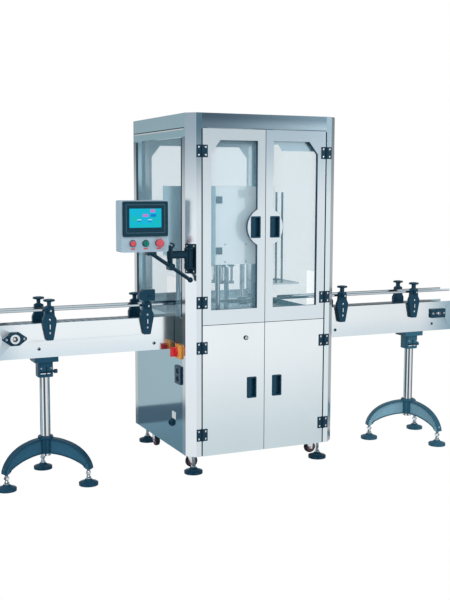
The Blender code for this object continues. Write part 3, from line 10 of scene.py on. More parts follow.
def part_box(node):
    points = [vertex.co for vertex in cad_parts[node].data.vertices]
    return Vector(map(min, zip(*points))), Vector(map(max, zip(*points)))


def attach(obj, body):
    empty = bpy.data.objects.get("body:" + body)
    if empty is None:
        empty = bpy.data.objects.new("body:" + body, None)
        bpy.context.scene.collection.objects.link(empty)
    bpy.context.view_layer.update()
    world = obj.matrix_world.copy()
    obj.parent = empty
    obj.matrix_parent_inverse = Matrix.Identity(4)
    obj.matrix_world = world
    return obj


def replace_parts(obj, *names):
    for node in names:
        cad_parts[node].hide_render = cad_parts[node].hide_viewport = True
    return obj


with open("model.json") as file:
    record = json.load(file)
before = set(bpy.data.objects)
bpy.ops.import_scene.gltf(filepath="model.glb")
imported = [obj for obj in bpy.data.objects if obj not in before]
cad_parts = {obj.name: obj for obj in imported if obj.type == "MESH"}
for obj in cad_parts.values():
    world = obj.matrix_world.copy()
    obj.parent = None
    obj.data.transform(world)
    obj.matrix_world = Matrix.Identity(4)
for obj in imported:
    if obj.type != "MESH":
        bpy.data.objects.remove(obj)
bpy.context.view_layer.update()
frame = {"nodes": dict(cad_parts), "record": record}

# O is the cabinet's centre on the floor. All places below are measured from there.
low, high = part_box("cabinet_frame")
HALF_W, HALF_D = 0.400, 0.4055
O = Vector(((low.x + high.x) / 2, high.y - HALF_D, 0.0))
FRONT, LEFT = -HALF_D, -HALF_W

# Cabinet
BEAM_LOW_FRONT, BEAM_LOW_SIDE = 1.6607, 1.6197
DOOR_EDGE = 0.3315
FOOT_X, FOOT_Y = 0.345, 0.330
HINGE_X, HINGE_HOLE_X, HINGE_HOLE_Z = 0.331, 0.0175, 0.018
LOCK_X, LOCK_Z = -0.101, 0.663
SWITCH_Y, SWITCH_Z = -0.287, 0.598
SOCKET_Y = -0.280

# Operator panel: swivel axis, box, buttons and the sloping bar
SWIVEL = Vector((-0.3994, -0.4049, 0.0))
PAN_X = LEFT - 0.092
BAR_LOW, BAR_HIGH = Vector((-0.397, -0.420, 0.956)), Vector((-0.590, -0.420, 1.08492))
BOX_FRONT = -0.430
BUTTON_Z = 1.132
BUTTON_X = {"stop": -0.681, "start": -0.620, "stop_all": -0.557}

# Conveyor and stands
CONV_Y, CONV_HALF, CONV_TOP = -0.1691, 0.0505, 0.7605
CONV_FRONT = CONV_Y - CONV_HALF
IDLER_X, DRIVE_X, SHAFT_Z = -1.180, 1.156, 0.697
BRACKET_X = {-1: (-1.020, -0.545, 0.540, 0.990), 1: (-1.040, -0.565, 0.520, 0.970)}
KNOB_Z = 0.822
STANDS = (("left", -1.033, 200.2), ("right", 1.009, 163.6))
CLAMP_HALF = 0.0355

# Seaming head
COVER_Y = -0.3333
CHUCK_X, CHUCK_Y, CHUCK_TOP = -0.07, -0.06, 1.0138

SHEET = 11                      # folds sharper than this many degrees stay crisp on sheet parts


# Materials
def shader(name):
    mat = bpy.data.materials.new(name)
    mat.use_nodes = True
    tree = mat.node_tree
    return mat, tree, tree.nodes["Principled BSDF"]


def link(tree, a, b):
    tree.links.new(a, b)


def noise(tree, scale, detail=3.0, rough=0.5, stretch=(1, 1, 1)):
    """Noise in the object's own coordinates, stretched per axis."""
    spot = tree.nodes.new("ShaderNodeTexCoord")
    mapping = tree.nodes.new("ShaderNodeMapping")
    mapping.inputs["Scale"].default_value = stretch
    tex = tree.nodes.new("ShaderNodeTexNoise")
    tex.inputs["Scale"].default_value = scale
    tex.inputs["Detail"].default_value = detail
    tex.inputs["Roughness"].default_value = rough
    link(tree, spot.outputs["Object"], mapping.inputs["Vector"])
    link(tree, mapping.outputs["Vector"], tex.inputs["Vector"])
    return tex.outputs["Fac"]


def ramp(tree, value, low_col, high_col, start=0.3, end=0.7):
    node = tree.nodes.new("ShaderNodeValToRGB")
    node.color_ramp.elements[0].position = start
    node.color_ramp.elements[1].position = end
    node.color_ramp.elements[0].color = (*low_col, 1)
    node.color_ramp.elements[1].color = (*high_col, 1)
    link(tree, value, node.inputs["Fac"])
    return node.outputs["Color"]


def spread(tree, value, low_val, high_val):
    node = tree.nodes.new("ShaderNodeMapRange")
    node.inputs["From Min"].default_value = 0.25
    node.inputs["From Max"].default_value = 0.75
    node.inputs["To Min"].default_value = low_val
    node.inputs["To Max"].default_value = high_val
    link(tree, value, node.inputs["Value"])
    return node.outputs["Result"]


def bump(tree, bsdf, value, strength, distance):
    node = tree.nodes.new("ShaderNodeBump")
    node.inputs["Strength"].default_value = strength
    node.inputs["Distance"].default_value = distance
    link(tree, value, node.inputs["Height"])
    link(tree, node.outputs["Normal"], bsdf.inputs["Normal"])


def fade(tree, colour, full, end, factor, axis="Z"):
    """Multiplies a colour by a soft change of tone between two places along an axis: painted light and shade.
    """
    spot = tree.nodes.new("ShaderNodeTexCoord")
    split = tree.nodes.new("ShaderNodeSeparateXYZ")
    level = tree.nodes.new("ShaderNodeMapRange")
    level.interpolation_type = "SMOOTHSTEP"
    level.inputs["From Min"].default_value = full
    level.inputs["From Max"].default_value = end
    link(tree, spot.outputs["Object"], split.inputs["Vector"])
    link(tree, split.outputs[axis], level.inputs["Value"])
    return multiply(tree, colour, ramp(tree, level.outputs["Result"], (1, 1, 1), factor, 0, 1))


def multiply(tree, a, b):
    mix = tree.nodes.new("ShaderNodeMixRGB")
    mix.blend_type = "MULTIPLY"
    mix.inputs["Fac"].default_value = 1.0
    link(tree, a, mix.inputs["Color1"])
    link(tree, b, mix.inputs["Color2"])
    return mix.outputs["Color"]


def brushed(name, colour, rough=0.22, grain=(1, 1, 0.01), change=0.03, shade_fades=(), metal=1.0):
    """Brushed steel: very fine lines along one axis, slow clouds, and painted light and shade that changes
    along an axis.
    """
    mat, tree, bsdf = shader(name)
    bsdf.inputs["Metallic"].default_value = metal
    lines = noise(tree, 700, 2.0, 0.6, grain)
    clouds = noise(tree, 2.5, 3.0, 0.5, (1, 1, 0.4))
    fine = ramp(tree, lines, tuple(c * (1 - change) for c in colour), colour)
    tone = multiply(tree, fine, ramp(tree, clouds, (1 - change,) * 3, (1, 1, 1)))
    for one_shade_fade in shade_fades:
        tone = fade(tree, tone, *one_shade_fade)
    link(tree, tone, bsdf.inputs["Base Color"])
    link(tree, spread(tree, lines, rough - 0.02, rough + 0.03), bsdf.inputs["Roughness"])
    bump(tree, bsdf, lines, 0.03, 0.0001)
    return mat


def plain_metal(name, colour, rough=0.15):
    """Turned or polished metal with faint smears."""
    mat, tree, bsdf = shader(name)
    bsdf.inputs["Metallic"].default_value = 1.0
    smear = noise(tree, 60.0, 3.0, 0.6)
    link(tree, ramp(tree, smear, tuple(c * 0.93 for c in colour), colour), bsdf.inputs["Base Color"])
    link(tree, spread(tree, smear, rough * 0.7, rough * 1.4), bsdf.inputs["Roughness"])
    return mat


def plastic(name, colour, rough=0.35, texture=0.10):
    """Moulded plastic or paint with a fine skin texture. Dark ones have a cool sheen."""
    mat, tree, bsdf = shader(name)
    skin = noise(tree, 1400, 2.0, 0.5)
    slow = noise(tree, 12.0, 2.0, 0.5)
    link(tree, ramp(tree, slow, tuple(c * 0.86 for c in colour), colour), bsdf.inputs["Base Color"])
    link(tree, spread(tree, slow, rough - 0.05, rough + 0.07), bsdf.inputs["Roughness"])
    if max(colour) < 0.2:
        bsdf.inputs["Specular Tint"].default_value = (0.30, 0.72, 1.0, 1)
    bump(tree, bsdf, skin, texture, 0.0003)
    return mat


def clear_sheet(name, colour, alpha):
    """Glazing: mostly see-through, with a tint and a sharp reflection."""
    mat, tree, bsdf = shader(name)
    haze = noise(tree, 4.0, 2.0, 0.5)
    link(tree, ramp(tree, haze, tuple(c * 0.97 for c in colour), colour), bsdf.inputs["Base Color"])
    bsdf.inputs["Roughness"].default_value = 0.06
    bsdf.inputs["IOR"].default_value = 1.5
    bsdf.inputs["Alpha"].default_value = alpha
    return mat


def lit(name, colour, strength=0.8, dark=None):
    """Glowing display area."""
    mat, tree, bsdf = shader(name)
    tone = noise(tree, 40.0, 2.0, 0.5)
    bsdf.inputs["Base Color"].default_value = (0.0, 0.004, 0.006, 1)
    bsdf.inputs["Roughness"].default_value = 0.25
    bsdf.inputs["Specular IOR Level"].default_value = 0.15
    glow = ramp(tree, tone, dark or tuple(c * 0.85 for c in colour), colour)
    link(tree, glow, bsdf.inputs["Emission Color"])
    bsdf.inputs["Emission Strength"].default_value = strength
    return mat


ALONG_X = (0.01, 1, 1)
MAT = {
    # Door steel: upper doors darker towards the top, lower doors a lighter copy darker towards the foot, the
    # right upper door darker at its top: painted light and shade.
    "door": brushed("door_steel_painted_shaded_top", (0.77, 0.84, 0.88), 0.20, shade_fades=[(1.15, 1.66, (0.80, 0.82, 0.83))]),
    "door_low": brushed("lower_door_painted_lit_shaded_foot", (0.91, 0.95, 0.97), 0.20,
                        shade_fades=[(0.66, 0.10, (0.74, 0.81, 0.83))]),
    # Door inside and edges painted dark: painted shade.
    "door_back": brushed("door_inside_painted_shade", (0.08, 0.17, 0.26), 0.30),
    "door_right": brushed("right_door_painted_shaded_top", (0.77, 0.84, 0.88), 0.20,
                          shade_fades=[(1.30, 1.66, (0.62, 0.70, 0.76))]),
    # Posts and chamfers: the right post and the chamfers are lighter copies of the post steel, and all darken
    # towards the top: painted light and shade.
    "post": brushed("post_steel_painted_shaded_top", (0.74, 0.80, 0.84), 0.18, shade_fades=[(1.25, 1.70, (0.15, 0.25, 0.31))]),
    "right_post": brushed("right_post_painted_lit_shaded_top", (0.78, 0.88, 0.91), 0.18,
                          shade_fades=[(1.25, 1.70, (0.50, 0.60, 0.66))]),
    "chamfer": brushed("chamfer_painted_lit_shaded_top", (0.86, 0.91, 0.95), 0.16, shade_fades=[(1.15, 1.72, (0.42, 0.49, 0.55))]),
    # Front beam, side beams, side header and side panels are darker copies of the same steel, the front beam
    # darker towards its top and left end: painted shade. The side header strip is painted as shaded inner
    # steel seen through glass.
    "beam": brushed("beam_painted_shade", (0.46, 0.60, 0.69), 0.22, ALONG_X, 0.08,
                    [(1.670, 1.715, (0.50, 0.56, 0.60)), (O.x + 0.36, O.x - 0.34, (0.34, 0.38, 0.42), "X")]),
    "side_beam": brushed("side_beam_painted_shade", (0.38, 0.58, 0.66), 0.20, (1, 0.01, 1), 0.06),
    "header": brushed("side_header_painted_shade", (0.34, 0.55, 0.63), 0.20, (1, 0.01, 1), 0.06),
    "side": brushed("side_panel_painted_shade", (0.40, 0.60, 0.68), 0.08),
    # Inside steel is a darker, bluer copy: painted shade inside the cabinet. The chamfer's back is painted
    # dark as shade.
    "inner": brushed("inner_painted_shade", (0.46, 0.70, 0.80), 0.20),
    "dark": brushed("chamfer_back_painted_shade", (0.09, 0.19, 0.28), 0.22),
    "cover": brushed("cover_steel", (0.97, 0.97, 0.97), 0.08, metal=0.3),
    # Conveyor plate darker towards its foot and towards both ends: painted shade.
    "conveyor": brushed("conveyor_painted_shaded_ends", (0.90, 0.94, 0.96), 0.15, ALONG_X, 0.03,
                        [(0.72, 0.60, (0.84, 0.89, 0.92)), (O.x + 1.02, O.x + 1.27, (0.42, 0.56, 0.63), "X"),
                         (O.x - 1.12, O.x - 1.26, (0.72, 0.79, 0.83), "X")]),
    "rail": brushed("rail_steel", (0.55, 0.62, 0.67), 0.12, ALONG_X),
    # Slat chain steel painted dark: a painted reflection of the dark surroundings along its top.
    "chain": brushed("slat_steel_painted_dark_reflection", (0.12, 0.20, 0.26), 0.26, ALONG_X),
    "bright": plain_metal("bright_steel", (0.80, 0.86, 0.90), 0.06),
    "pin": plain_metal("screw_steel", (0.80, 0.83, 0.85), 0.20),
    "black": plastic("black_plastic", (0.006, 0.034, 0.062), 0.26),
    "leaf": plastic("hinge_black", (0.008, 0.026, 0.046), 0.32),
    "arm": plastic("arm_black", (0.003, 0.014, 0.026), 0.20),
    # The left stand is a darker copy, painted shade, and the right a lighter one, painted light; on each, the
    # webs are painted lighter than the straps as lit faces.
    "left_flange": plastic("nylon_painted_shade", (0.009, 0.050, 0.090), 0.32),
    "left_web": plastic("web_nylon_painted_lighter", (0.024, 0.095, 0.155), 0.36),
    "right_flange": plastic("nylon_painted_light", (0.030, 0.110, 0.16), 0.28),
    "right_web": plastic("web_nylon_painted_light", (0.20, 0.38, 0.47), 0.36),
    "box": plastic("box_paint", (0.35, 0.46, 0.53), 0.45, 0.14),
    "bezel": plastic("bezel_plastic", (0.004, 0.022, 0.036), 0.30),
    "drive": plastic("drive_enamel", (0.06, 0.12, 0.17), 0.45),
    "yellow": plastic("yellow_plastic", (0.86, 0.33, 0.05), 0.35),
    "red": plastic("red_plastic", (0.66, 0.015, 0.020), 0.28, 0.04),
    "button_red": plastic("button_plastic", (0.60, 0.070, 0.095), 0.30, 0.04),
    "green": plastic("green_plastic", (0.005, 0.16, 0.11), 0.28, 0.04),
    "rubber": plastic("tyre_rubber", (0.018, 0.014, 0.022), 0.55),
    "hub": plastic("hub_plastic", (0.22, 0.085, 0.090), 0.40),
    "line": plastic("edge_line", (0.10, 0.19, 0.25), 0.35),
    "pale": plastic("pale_label", (0.72, 0.74, 0.72), 0.6),
    "gasket": plastic("gasket_rubber", (0.002, 0.014, 0.028), 0.50),
    "glass": clear_sheet("clear_pane", (0.45, 0.70, 0.80), 0.16),
    # The upper right pane is a paler, clearer copy of the pane glass: painted light.
    "clear": clear_sheet("right_pane_painted_lit", (0.42, 0.80, 0.92), 0.08),
    "cyan": lit("screen_cyan", (0.0, 0.46, 0.72), 1.0, (0.0, 0.48, 0.56)),
    "blue": lit("screen_blue", (0.0, 0.22, 0.66), 1.0),
    "pink": lit("screen_pink", (0.55, 0.20, 0.58), 1.0),
    "teal": lit("screen_teal", (0.0, 0.50, 0.42), 1.0, (0.0, 0.50, 0.55)),
    "text": lit("screen_white", (0.55, 0.85, 0.90), 1.0),
}


# Building pieces
def body_of(node):
    """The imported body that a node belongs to."""
    for body, nodes in frame["record"]["behaviour"]["bodies"].items():
        if node in nodes:
            return body
    raise KeyError(node)


def piece(name, bm, mats, body, crease=40, bevel=0.0):
    """Makes the piece from its mesh, with smooth shading up to a crease angle, and lets it ride on a body."""
    mesh = bpy.data.meshes.new(name)
    bmesh.ops.recalc_face_normals(bm, faces=bm.faces)
    bm.to_mesh(mesh)
    bm.free()
    mesh.shade_smooth()
    mesh.set_sharp_from_angle(angle=math.radians(crease))
    ob = bpy.data.objects.new(name, mesh)
    bpy.context.scene.collection.objects.link(ob)
    for key in mats if isinstance(mats, (list, tuple)) else [mats]:
        mesh.materials.append(MAT[key])
    if bevel:
        step = ob.modifiers.new("Edges", "BEVEL")
        step.width = bevel
        step.segments = 2
        step.limit_method = "ANGLE"
        step.angle_limit = math.radians(50)
        step.use_clamp_overlap = True
    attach(ob, body)
    return ob


def dress(node, mats, pick=None, bevel=0.0, crease=30, cuts=()):
    """A finished copy of a CAD node: welded, split at the given planes and painted face by face."""
    bm = bmesh.new()
    bm.from_mesh(frame["nodes"][node].data)
    bmesh.ops.remove_doubles(bm, verts=bm.verts, dist=1e-5)
    for at, normal in cuts:
        bmesh.ops.bisect_plane(bm, geom=bm.verts[:] + bm.edges[:] + bm.faces[:], dist=1e-6,
                               plane_co=Vector(at) + O, plane_no=normal)
    for face in bm.faces:
        face.normal_update()
        face.material_index = pick(face.calc_center_median() - O, face.normal) if pick else 0
    ob = piece(node + "_skin", bm, mats, body_of(node), crease, bevel)
    even = ob.modifiers.new("Even", "WEIGHTED_NORMAL")
    even.weight = 100
    even.keep_sharp = True
    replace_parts(ob, node)
    return ob


QUARTER = math.pi / 2
AXES = {"Z": Matrix.Identity(4),
        "Y": Matrix.Rotation(-QUARTER, 4, "X"), "-Y": Matrix.Rotation(QUARTER, 4, "X"),
        "X": Matrix.Rotation(QUARTER, 4, "Y"), "-X": Matrix.Rotation(-QUARTER, 4, "Y")}


def lathe(bm, profile, at, axis="Z", steps=40, mat=0):
    """Adds a turned shape. profile is (radius, height) pairs; mat may be a list along it."""
    turn = Matrix.Translation(Vector(at) + O) @ (axis if isinstance(axis, Matrix) else AXES[axis])
    rings = []
    for r, h in profile:
        if r < 1e-7:
            rings.append([bm.verts.new(turn @ Vector((0, 0, h)))])
        else:
            rings.append([bm.verts.new(turn @ Vector((r * math.cos(a), r * math.sin(a), h)))
                          for a in (2 * math.pi * i / steps for i in range(steps))])
    for k, (a, b) in enumerate(zip(rings, rings[1:])):
        m = mat[k] if isinstance(mat, (list, tuple)) else mat
        for i in range(steps):
            j = (i + 1) % steps
            loop = [a[i % len(a)], a[j % len(a)], b[j % len(b)], b[i % len(b)]]
            loop = [v for n, v in enumerate(loop) if v not in loop[:n]]
            if len(loop) > 2:
                bm.faces.new(loop).material_index = m
    return bm


def slab(bm, outline, low_h, high_h, plane, mat=0):
    """Adds an extruded outline. plane maps (u, v, h) to space."""
    a, b = [[bm.verts.new(Vector(plane(u, v, h)) + O) for u, v in outline] for h in (low_h, high_h)]
    n = len(outline)
    for i in range(n):
        j = (i + 1) % n
        bm.faces.new((a[i], a[j], b[j], b[i])).material_index = mat
    for row in (a, b):
        bm.faces.new(row).material_index = mat
    return bm


XY = lambda u, v, h: (u, v, h)
XZ = lambda u, v, h: (u, h, v)
YZ = lambda u, v, h: (h, u, v)


def hexagon(bm, at, r, low_h, high_h, turn):
    """Adds a nut, turned by some degrees."""
    angles = [math.radians(60 * i + turn) for i in range(6)]
    pts = [(at[0] + r * math.cos(a), at[1] + r * math.sin(a)) for a in angles]
    return slab(bm, pts, low_h, high_h, XY)


def strip(low_u, high_u, low_v, high_v):
    """Outline of a straight-edged strip."""
    return [(low_u, low_v), (high_u, low_v), (high_u, high_v), (low_u, high_v)]


def round_rect(cx, cz, w, h, r, steps=5):
    """Outline of a rectangle with rounded corners, by its centre and size."""
    out = []
    for k, (sx, sz) in enumerate(((1, -1), (1, 1), (-1, 1), (-1, -1))):
        mx, mz = cx + sx * (w / 2 - r), cz + sz * (h / 2 - r)
        out += [(mx + r * math.cos(a), mz + r * math.sin(a))
                for a in (math.radians(-90 + 90 * k + 90 * i / steps) for i in range(steps + 1))]
    return out


# Cabinet
def frame_pick(c, n):
    """0 post, 1 front beam, 2 inside, 3 hinge leaf, 4 foot, 5 side beam, 6 chamfer, 7 its back, 8 right post,
    9 side header. Post, beam, side, chamfer, header and inside zones carry lit and shaded copies of one
    steel: painted light and shade. 7, the chamfer's back, is painted dark as shade."""
    if c.y < FRONT - 0.0004 and c.z > 0.12:
        return 3
    if c.z < 0.0985:
        return 4
    if abs(n.x) > 0.5 and abs(n.y) > 0.5:
        return 6 if abs(c.x) + abs(c.y) > 0.763 else 7
    if abs(c.y) > HALF_D - 0.0004:
        return 1 if c.z > BEAM_LOW_FRONT and abs(c.x) < DOOR_EDGE else 8 if c.x > 0 else 0
    if abs(c.x) > HALF_W - 0.0004:
        return 5 if c.z > BEAM_LOW_FRONT else 9 if c.z > BEAM_LOW_SIDE else 0
    return 2


def door_pick(c, n):
    """0 outside, 1 hinge leaf, 2 edges and inside, painted dark as their shade."""
    if c.y < FRONT - 0.0004:
        return 1
    return 2 if c.y > FRONT + 0.0015 or abs(n.x) > 0.9 else 0


def cabinet():
    up, across = (0, 0, 1), (1, 0, 0)
    looks = ["post", "beam", "inner", "leaf", "pin", "side_beam", "chamfer", "dark", "right_post", "header"]
    borders = [((0, 0, BEAM_LOW_FRONT), up), ((0, 0, BEAM_LOW_SIDE), up),
               ((DOOR_EDGE, 0, 0), across), ((-DOOR_EDGE, 0, 0), across)]
    dress("cabinet_frame", looks, frame_pick, crease=SHEET, cuts=borders)
    dress("floor_plate", "inner", crease=SHEET)
    dress("table_plate", "inner", crease=SHEET)
    dress("left_lower_panel", ["side", "black"], lambda c, n: 1 if c.x < LEFT - 0.0003 else 0, crease=SHEET)
    dress("right_lower_panel", "side", crease=SHEET)
    dress("back_lower_panel", "door_low", crease=SHEET)
    dress("back_upper_panel", "door", crease=SHEET)
    for node in ("left_window_pane", "right_window_pane", "back_window_pane", "upper_left_pane"):
        dress(node, "glass")
    dress("upper_right_pane", "clear")
    for level, word, key in (("upper", "left", "door"), ("upper", "right", "door_right"),
                             ("lower", "left", "door_low"), ("lower", "right", "door_low")):
        dress("%s_%s_door" % (level, word), [key, "leaf", "door_back"], door_pick, crease=SHEET)
        dress("%s_%s_pull" % (level, word), "black", None, 0.0008)
    right_header()
    key_lock()
    for sx in (-1, 1):
        for sy in (-1, 1):
            levelling_foot("cabinet_foot_%s%s" % ("lr"[sx > 0], "fb"[sy > 0]), (sx * FOOT_X, sy * FOOT_Y),
                           0.1, 0.013, (0.085, 0.097))
    hinge_screws()
    gaskets()
    back_screws()


def right_header():
    """Sheet behind the top of the right upper window, with a stepped lower edge."""
    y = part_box("upper_right_pane")[1].y - O.y + 0.0003
    outline = [(0.0420, 1.6150), (0.0420, 1.5900), (0.0800, 1.5900), (0.0980, 1.5600), (0.2860, 1.5600),
               (0.2860, 1.6150)]
    bm = bmesh.new()
    slab(bm, outline, y, y + 0.0010, XZ)
    piece("upper_right_header", bm, "door_right", body_of("upper_right_door"), SHEET)


def key_lock():
    """Turned lock barrel with a dark rim, its face and the key slot."""
    dress("key_lock", "black")
    bm = bmesh.new()
    face = [(0, 0.0068), (0.0055, 0.0067), (0.0072, 0.0062), (0.0076, 0.0052)]
    lathe(bm, face, (LOCK_X, FRONT, LOCK_Z), "-Y", 24)
    slab(bm, round_rect(LOCK_X, LOCK_Z, 0.0014, 0.0090, 0.0005, 2), FRONT - 0.0072, FRONT - 0.0066, XZ, 1)
    piece("key_lock_face", bm, ["pin", "black"], body_of("key_lock"))


def gaskets():
    """Rubber strips beside the side panes, dark strips along the door gaps painted as their shade, and on
    each side beam a dark line with a bright strip under it painted as a highlight.
    """
    for word, side in (("left", -1), ("right", 1)):
        bm = bmesh.new()
        for y, wide in ((-0.3140, 0.010), (0.3145, 0.021)):
            xs = sorted((side * 0.3972, side * 0.3988))
            slab(bm, round_rect(y, 1.1915, wide, 0.848, 0.002, 2), xs[0], xs[1], YZ)
        piece("%s_pane_gasket" % word, bm, "gasket", "machine")
        # Dark strip along the door gap: painted shade in the gap.
        bm = bmesh.new()
        xs = sorted((side * 0.3292, side * 0.3338))
        slab(bm, strip(xs[0], xs[1], 0.102, 1.655), FRONT - 0.0007, FRONT - 0.00005, XZ)
        piece("%s_door_seal" % word, bm, "gasket", "machine")
        # On the side beam a dark line, and under it a bright strip painted as a highlight.
        bm = bmesh.new()
        xs = sorted((side * (HALF_W + 0.0001), side * (HALF_W + 0.0006)))
        slab(bm, round_rect(0.0, BEAM_LOW_FRONT, 0.700, 0.0042, 0.001, 2), xs[0], xs[1], YZ)
        slab(bm, round_rect(0.0, BEAM_LOW_FRONT - 0.0060, 0.690, 0.0050, 0.001, 2), xs[0], xs[1], YZ, 1)
        piece("%s_header_line_painted_highlight" % word, bm, ["gasket", "pin"], "machine")


def back_screws():
    """Dome head screws round the lower and upper back panels and the right lower panel."""
    bm = bmesh.new()
    dome = [(0, 0.0026), (0.0022, 0.0024), (0.0040, 0.0014), (0.0048, 0.0)]
    for x in (-0.316, 0.0, 0.316):
        for z in (0.125, 0.410, 0.715, 0.757, 1.640):
            lathe(bm, dome, (x, HALF_D, z), "Y", 14)
    for z in (1.05, 1.35):
        for x in (-0.316, 0.316):
            lathe(bm, dome, (x, HALF_D, z), "Y", 14)
    piece("back_panel_screws", bm, "pin", "machine")
    bm = bmesh.new()
    for y in (-0.305, 0.0, 0.305):
        for z in (0.125, 0.735):
            lathe(bm, dome, (HALF_W, y, z), "X", 14)
    piece("right_panel_screws", bm, "pin", "machine")


def levelling_foot(name, spot, top, nut_r, nut, pad_mat="black"):
    """Dished pad, ball neck, threaded spindle and lock nut."""
    bm = bmesh.new()
    x, y = spot
    pad = [(0, 0), (0.0452, 0), (0.0455, 0.004), (0.0455, 0.0125), (0.043, 0.0145), (0.030, 0.0185),
           (0.0205, 0.0225), (0.0165, 0.0285), (0.0145, 0.0305), (0.0095, 0.0315)]
    lathe(bm, pad, (x, y, 0), mat=[1] * 8 + [0], steps=48)
    thread, z, k = [(0.0095, 0.0315)], 0.0325, 0
    while z < top:
        thread.append((0.0074 if k % 2 else 0.0081, z))
        z, k = z + 0.0010, k + 1
    lathe(bm, thread, (x, y, 0), steps=24)
    hexagon(bm, (x, y), nut_r * 1.12, nut[0], nut[1], 12)
    hexagon(bm, (x, y), 0.0118, 0.0345, 0.0400, 40)
    return piece(name, bm, ["bright", pad_mat], "machine", 35)


def hinge_screws():
    """Countersunk screw heads of the eight door hinges."""
    head = [(0, 0.0040), (0.0025, 0.0040), (0.0042, 0.0036), (0.0048, 0.0032), (0.0048, 0.0026)]
    for level, heights in (("upper", (1.553, 0.843)), ("lower", (0.626, 0.204))):
        for word, side in (("left", -1), ("right", 1)):
            for part, inward in (("door", -side), ("post", side)):
                bm = bmesh.new()
                x = side * HINGE_X + inward * HINGE_HOLE_X
                for z in heights:
                    for dz in (-HINGE_HOLE_Z, HINGE_HOLE_Z):
                        lathe(bm, head, (x, FRONT, z + dz), "-Y", 16)
                body = "%s_%s_door_body" % (level, word) if part == "door" else "machine"
                piece("%s_%s_hinge_screws_%s" % (level, word, part), bm, "bright", body)


def left_side():
    """Main switch, socket rims and the bare tag on the left lower panel."""
    dress("main_switch_base", "yellow", None, 0.0012)
    dress("main_switch_knob", "red", None, 0.0015)
    bm = bmesh.new()
    for dy in (-0.025, 0.025):
        for dz in (-0.025, 0.025):
            at = (LEFT - 0.0104, SWITCH_Y + dy, SWITCH_Z + dz)
            lathe(bm, [(0, 0.0013), (0.003, 0.0010), (0.0034, 0.0)], at, "-X", 14)
    piece("main_switch_screws", bm, "bright", "machine")
    bm = bmesh.new()
    for z in (0.462, 0.501):
        rim = [(0.0125, 0.0), (0.0140, 0.0012), (0.0155, 0.0012), (0.0165, 0.0)]
        lathe(bm, rim, (LEFT - 0.0080, SOCKET_Y, z), "-X", 28)
        for dy in (-0.0052, 0.0052):
            at = (LEFT - 0.0032, SOCKET_Y + dy, z)
            lathe(bm, [(0, 0.0006), (0.0018, 0.0005), (0.0022, 0.0)], at, "-X", 10, 1)
    piece("socket_rims", bm, ["left_flange", "pin"], "machine")
    bm = bmesh.new()
    slab(bm, round_rect(-0.213, 0.268, 0.050, 0.036, 0.002), LEFT - 0.0008, LEFT - 0.0001, YZ)
    piece("side_tag", bm, "pale", "machine")


# Operator panel
def operator_panel():
    """Bracket, arm, clamp with its bar, box, touch screen and buttons."""
    dress("hmi_bracket", "arm", None, 0.0010)
    panel_arm()
    panel_support()
    dress("hmi_box", ["box", "pin"], lambda c, n: 1 if c.y < BOX_FRONT - 0.0003 else 0, 0.0016)
    dress("touch_panel", "bezel", None, 0.0012)
    screen()
    push_button("stop_button", BUTTON_X["stop"], "button_red")
    push_button("start_button", BUTTON_X["start"], "green")
    mushroom(BUTTON_X["stop_all"])
    bm = bmesh.new()
    for x in BUTTON_X.values():
        slab(bm, round_rect(x, 1.1075, 0.020, 0.0055, 0.001, 2), BOX_FRONT - 0.0006, BOX_FRONT + 0.0001, XZ)
    piece("button_tags", bm, "red", "operator_panel")
    corner_bolts()


def tube(bm, points, radius, steps=14):
    """Sweeps a round section along points, with domed ends."""
    rings = []
    for i, p in enumerate(points):
        t = (points[min(i + 1, len(points) - 1)] - points[max(i - 1, 0)]).normalized()
        side = t.orthogonal() if not i else (side - t * side.dot(t))
        side.normalize()
        up = t.cross(side)
        rings.append([bm.verts.new(p + O + (side * math.cos(a) + up * math.sin(a)) * radius)
                      for a in (2 * math.pi * k / steps for k in range(steps))])
    for a, b in zip(rings, rings[1:]):
        for k in range(steps):
            bm.faces.new((a[k], a[(k + 1) % steps], b[(k + 1) % steps], b[k]))
    for end, p, q in ((rings[0], points[0], points[1]), (rings[-1], points[-1], points[-2])):
        tip = bm.verts.new(p + O + (p - q).normalized() * radius * 0.5)
        for k in range(steps):
            bm.faces.new((end[k], end[(k + 1) % steps], tip))


def panel_arm():
    """Ribbed swivel barrel with a rounded cast arm and its eye."""
    bm = bmesh.new()
    low, high, r, bore = 1.017, 1.094, 0.021, 0.0066
    barrel = [(bore, low), (r - 0.002, low), (r, low + 0.002), (r, low + 0.014), (r - 0.0015, low + 0.016),
              (r - 0.0015, low + 0.026), (r, low + 0.028), (r, high - 0.002), (r - 0.002, high), (bore, high)]
    lathe(bm, barrel + barrel[:1], SWIVEL, "Z", 40)
    section = round_rect(SWIVEL.y, 1.0745, 0.029, 0.036, 0.0110, 6)
    slab(bm, section, PAN_X, SWIVEL.x - 0.010, YZ)
    for z in (1.0640, 1.0850):
        tube(bm, [Vector((x, SWIVEL.y - 0.0128, z)) for x in (PAN_X + 0.020, SWIVEL.x - 0.024)], 0.0030)
    eye = [(bore, 1.056), (0.0140, 1.056), (0.0150, 1.058), (0.0150, 1.091), (0.0140, 1.093), (bore, 1.093),
           (bore, 1.056)]
    lathe(bm, eye, (PAN_X, SWIVEL.y, 0), "Z", 32)
    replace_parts(piece("swivel_arm", bm, "arm", body_of("hmi_arm"), 35), "hmi_arm")


